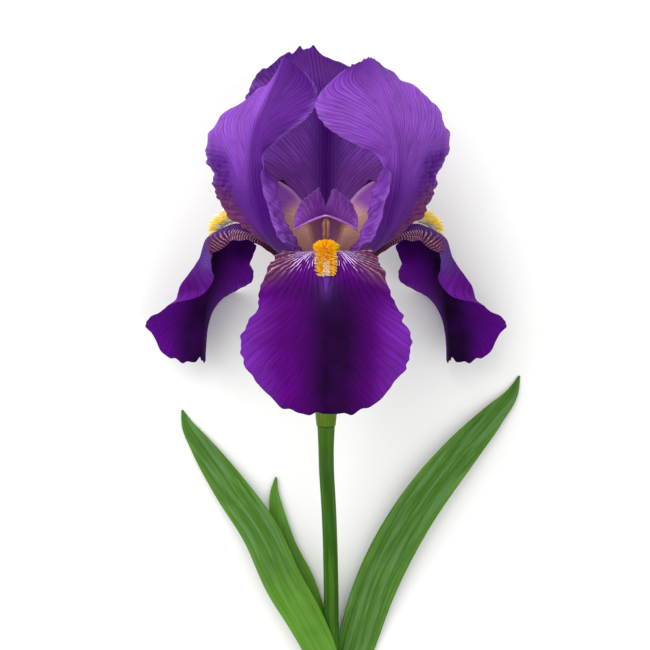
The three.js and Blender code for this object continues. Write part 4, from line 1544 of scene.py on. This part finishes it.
STANDARD_OUT = (3.3, 9.5, 18, 26.5, 31, 33, 32.8, 31.5, 27, 22, 19)
STANDARD_UP = (CLAW_FOOT, -8.5, 0, 10, 22, 34, 41, 50, 63, 73, 79)
OUTER: dict[str, Row] = {"turn": (20, 25, 30, 15, 10, 12, 13, 15, 15, 10, 10),
                         "crease": (0, 0, 0, -15, -14, -12, -13, -15, -15, -5, 0)}
CLAW: dict[str, Row] = {"turn": (20, 25, 20, 0, 0, 0, 45, 45, 45, 45, 45),
                        "crease": (0, 0, 10, 35, 50, 45, 10, 8, 10, 8, 5),
                        "fold": (0, 0, -30, -110, -150, -150, 0, 0, 0, 0, 0)}
STANDARDS = (
    Standard("standard_left", -60, STANDARD_OUT, STANDARD_UP,
             far=Half((1.6, 5, 7.5, 9, 26.5, 28.5, 32, 31, 9, 2, 1.5), **OUTER),
             near=Half((1.6, 8.5, 17.5, 17.5, 15.5, 14, 5, 11.5, 21.5, 19, 6), **CLAW),
             tip=Tip(drop=0.03, scallop=0.002), pinches=(Pinch(-1, 0.525, 1.6),), near_shade=0.85, seed=4.0),
    Standard("standard_right", 60, STANDARD_OUT, STANDARD_UP,
             far=Half((1.6, 5, 7.5, 9, 25.5, 27.5, 34.5, 36, 23, 15, 7), **OUTER),
             near=Half((1.6, 8.5, 17.5, 17.5, 15.5, 14, 9, 21, 31, 26, 7), **CLAW),
             tip=Tip(drop=0.02, scallop=0.002), pinches=(Pinch(-1, 0.54, 2.2),), rib_dim=0.45, seed=5.0,
             mirrored=True),
    Standard("standard_back", 180, (3.3, 9.5, 18, 26.5, 31, 33, 31.5, 27, 21, 17),
             (CLAW_FOOT, -8.5, 0, 10, 22, 36, 50, 63, 74, 81.5),
             far=Half((1.6, 5, 10, 17, 28, 34, 36, 35, 27, 15), (20, 25, 30, 30, 25, 20, 20, 20, 20, 20)),
             near=Half((1.6, 5, 10, 17, 28, 34, 34, 30, 22.5, 15), (20, 25, 30, 30, 25, 20, 20, 15, 10, 10)),
             tip=Tip(drop=0.085, power=3.0, step=0.05, scallop=0.007), sway=(0, 0, 0, 0, 0, 0, 0, 2, 4, 5),
             # The back standard's glow starts low: painted light on its veil inside the bloom.
             base_shade=0.0, lit=0.45, rib_width=0.2, rib_dim=1.0, rust=0.6, rust_from=0.0, rust_depth=0.4,
             strip=0.0, seed=6.0),
)

ARM_HALF = Half(half=(2, 5, 8, 10.5, 12.5, 14, 14.5), turn=(-40, -50, -55, -60, -55, -40, -10),
                crease=(0, -5, -10, -10, -10, -14, -23))
ARM_WIDE = Half(half=(2, 6.5, 12, 16, 17, 16, 15), turn=ARM_HALF.turn, crease=ARM_HALF.crease)
ARM_FRONT = ((2.4, 4.5, 7, 11, 16, 20.5, 23.5), (-8, 2, 11, 18, 20.5, 20.5, 19))
ARM_SIDE = ((2.4, 4.5, 7, 11, 16, 20, 23), (-8, 2.5, 11.5, 20, 25, 27.5, 29))
ARMS = (
    StyleArm("arm_front", 0, *ARM_FRONT, far=ARM_HALF, near=ARM_HALF, tan_from=0.7, tan_until=0.9,
             purple_half=0.8, seed=8.0),
    StyleArm("arm_left", -120, *ARM_SIDE, far=ARM_HALF, near=ARM_WIDE, crest_scale=0.2, seed=6.0),
    StyleArm("arm_right", 120, *ARM_SIDE, far=ARM_WIDE, near=ARM_HALF, crest_scale=0.2, seed=10.0),
)

LEAVES = (
    Leaf("leaf_left", ((-60.3, -35.9, 0.35), (-58.2, -41.7, 1.1), (-52.2, -50.9, 2.8), (-39.9, -68.4, 6),
                       (-27.6, -85.8, 9.5), (-16.3, -109.1, 13.2), (-8.8, -122, 12.9), (-2.1, -135.8, 11.2),
                       (2.5, -151, 9.3)),
         half=(0.4, 2.4, 4.6, 7.1, 7.9, 8.2, 7.9, 7, 5.5), turn=(0, -5, -10, -15, -15, -20, -30, -30, -20),
         young=0.6),
    Leaf("leaf_right", ((82, -21.5, 0.35), (79.2, -28.3, 1.3), (70.3, -38.7, 3.1), (59.3, -50.8, 4.5),
                        (36.5, -80.2, 6), (21.2, -109.7, 4.4), (13.8, -132.7, 2.1), (9.4, -152.2, 0.3)),
         half=(0.4, 2.4, 5, 7, 8.9, 9, 8, 5.5), turn=(0, 5, 8, 10, 10, 6, 0, 0)),
    Leaf("leaf_small", ((-20.6, -64.1, 1.4), (-21.3, -69.5, 1.9), (-20.2, -79.5, 2.8), (-16.8, -92.5, 3.8),
                        (-10.5, -109.3, 3.6), (-5.1, -124, 2.4), (-1.7, -136.9, 1.4), (-0.5, -152, 0.7)),
         half=(0.4, 1.6, 3.3, 4.6, 6.5, 5.6, 3.6, 2), turn=(0,) * 8, young=0.5, young_all=0.5),
)


def main() -> None:
    """Builds the flower and its studio."""
    logging.basicConfig(level=logging.INFO, format="%(message)s")
    ovary = Ovary()
    stand = Stand.from_tube(ovary.profile)
    Bloom(FALLS, STANDARDS, ARMS).build(stand)
    tube = stand.make("ovary_and_tube_skin", ovary.shell(), OVARY_SKIN.material())
    seat(tube, "ovary_and_tube", Slot.OVARY)
    seat(stand.make("stem_round", Stem().shell(), STEM_SKIN.material()), "stem", Slot.STEM)
    blade = LEAF_SKIN.material()
    for leaf in LEAVES:
        seat(stand.make(f"{leaf.name}_blade", leaf.shell(), blade), leaf.name, Slot.LEAF)
    Studio().build(stand)


if __name__ == "__main__":
    main()
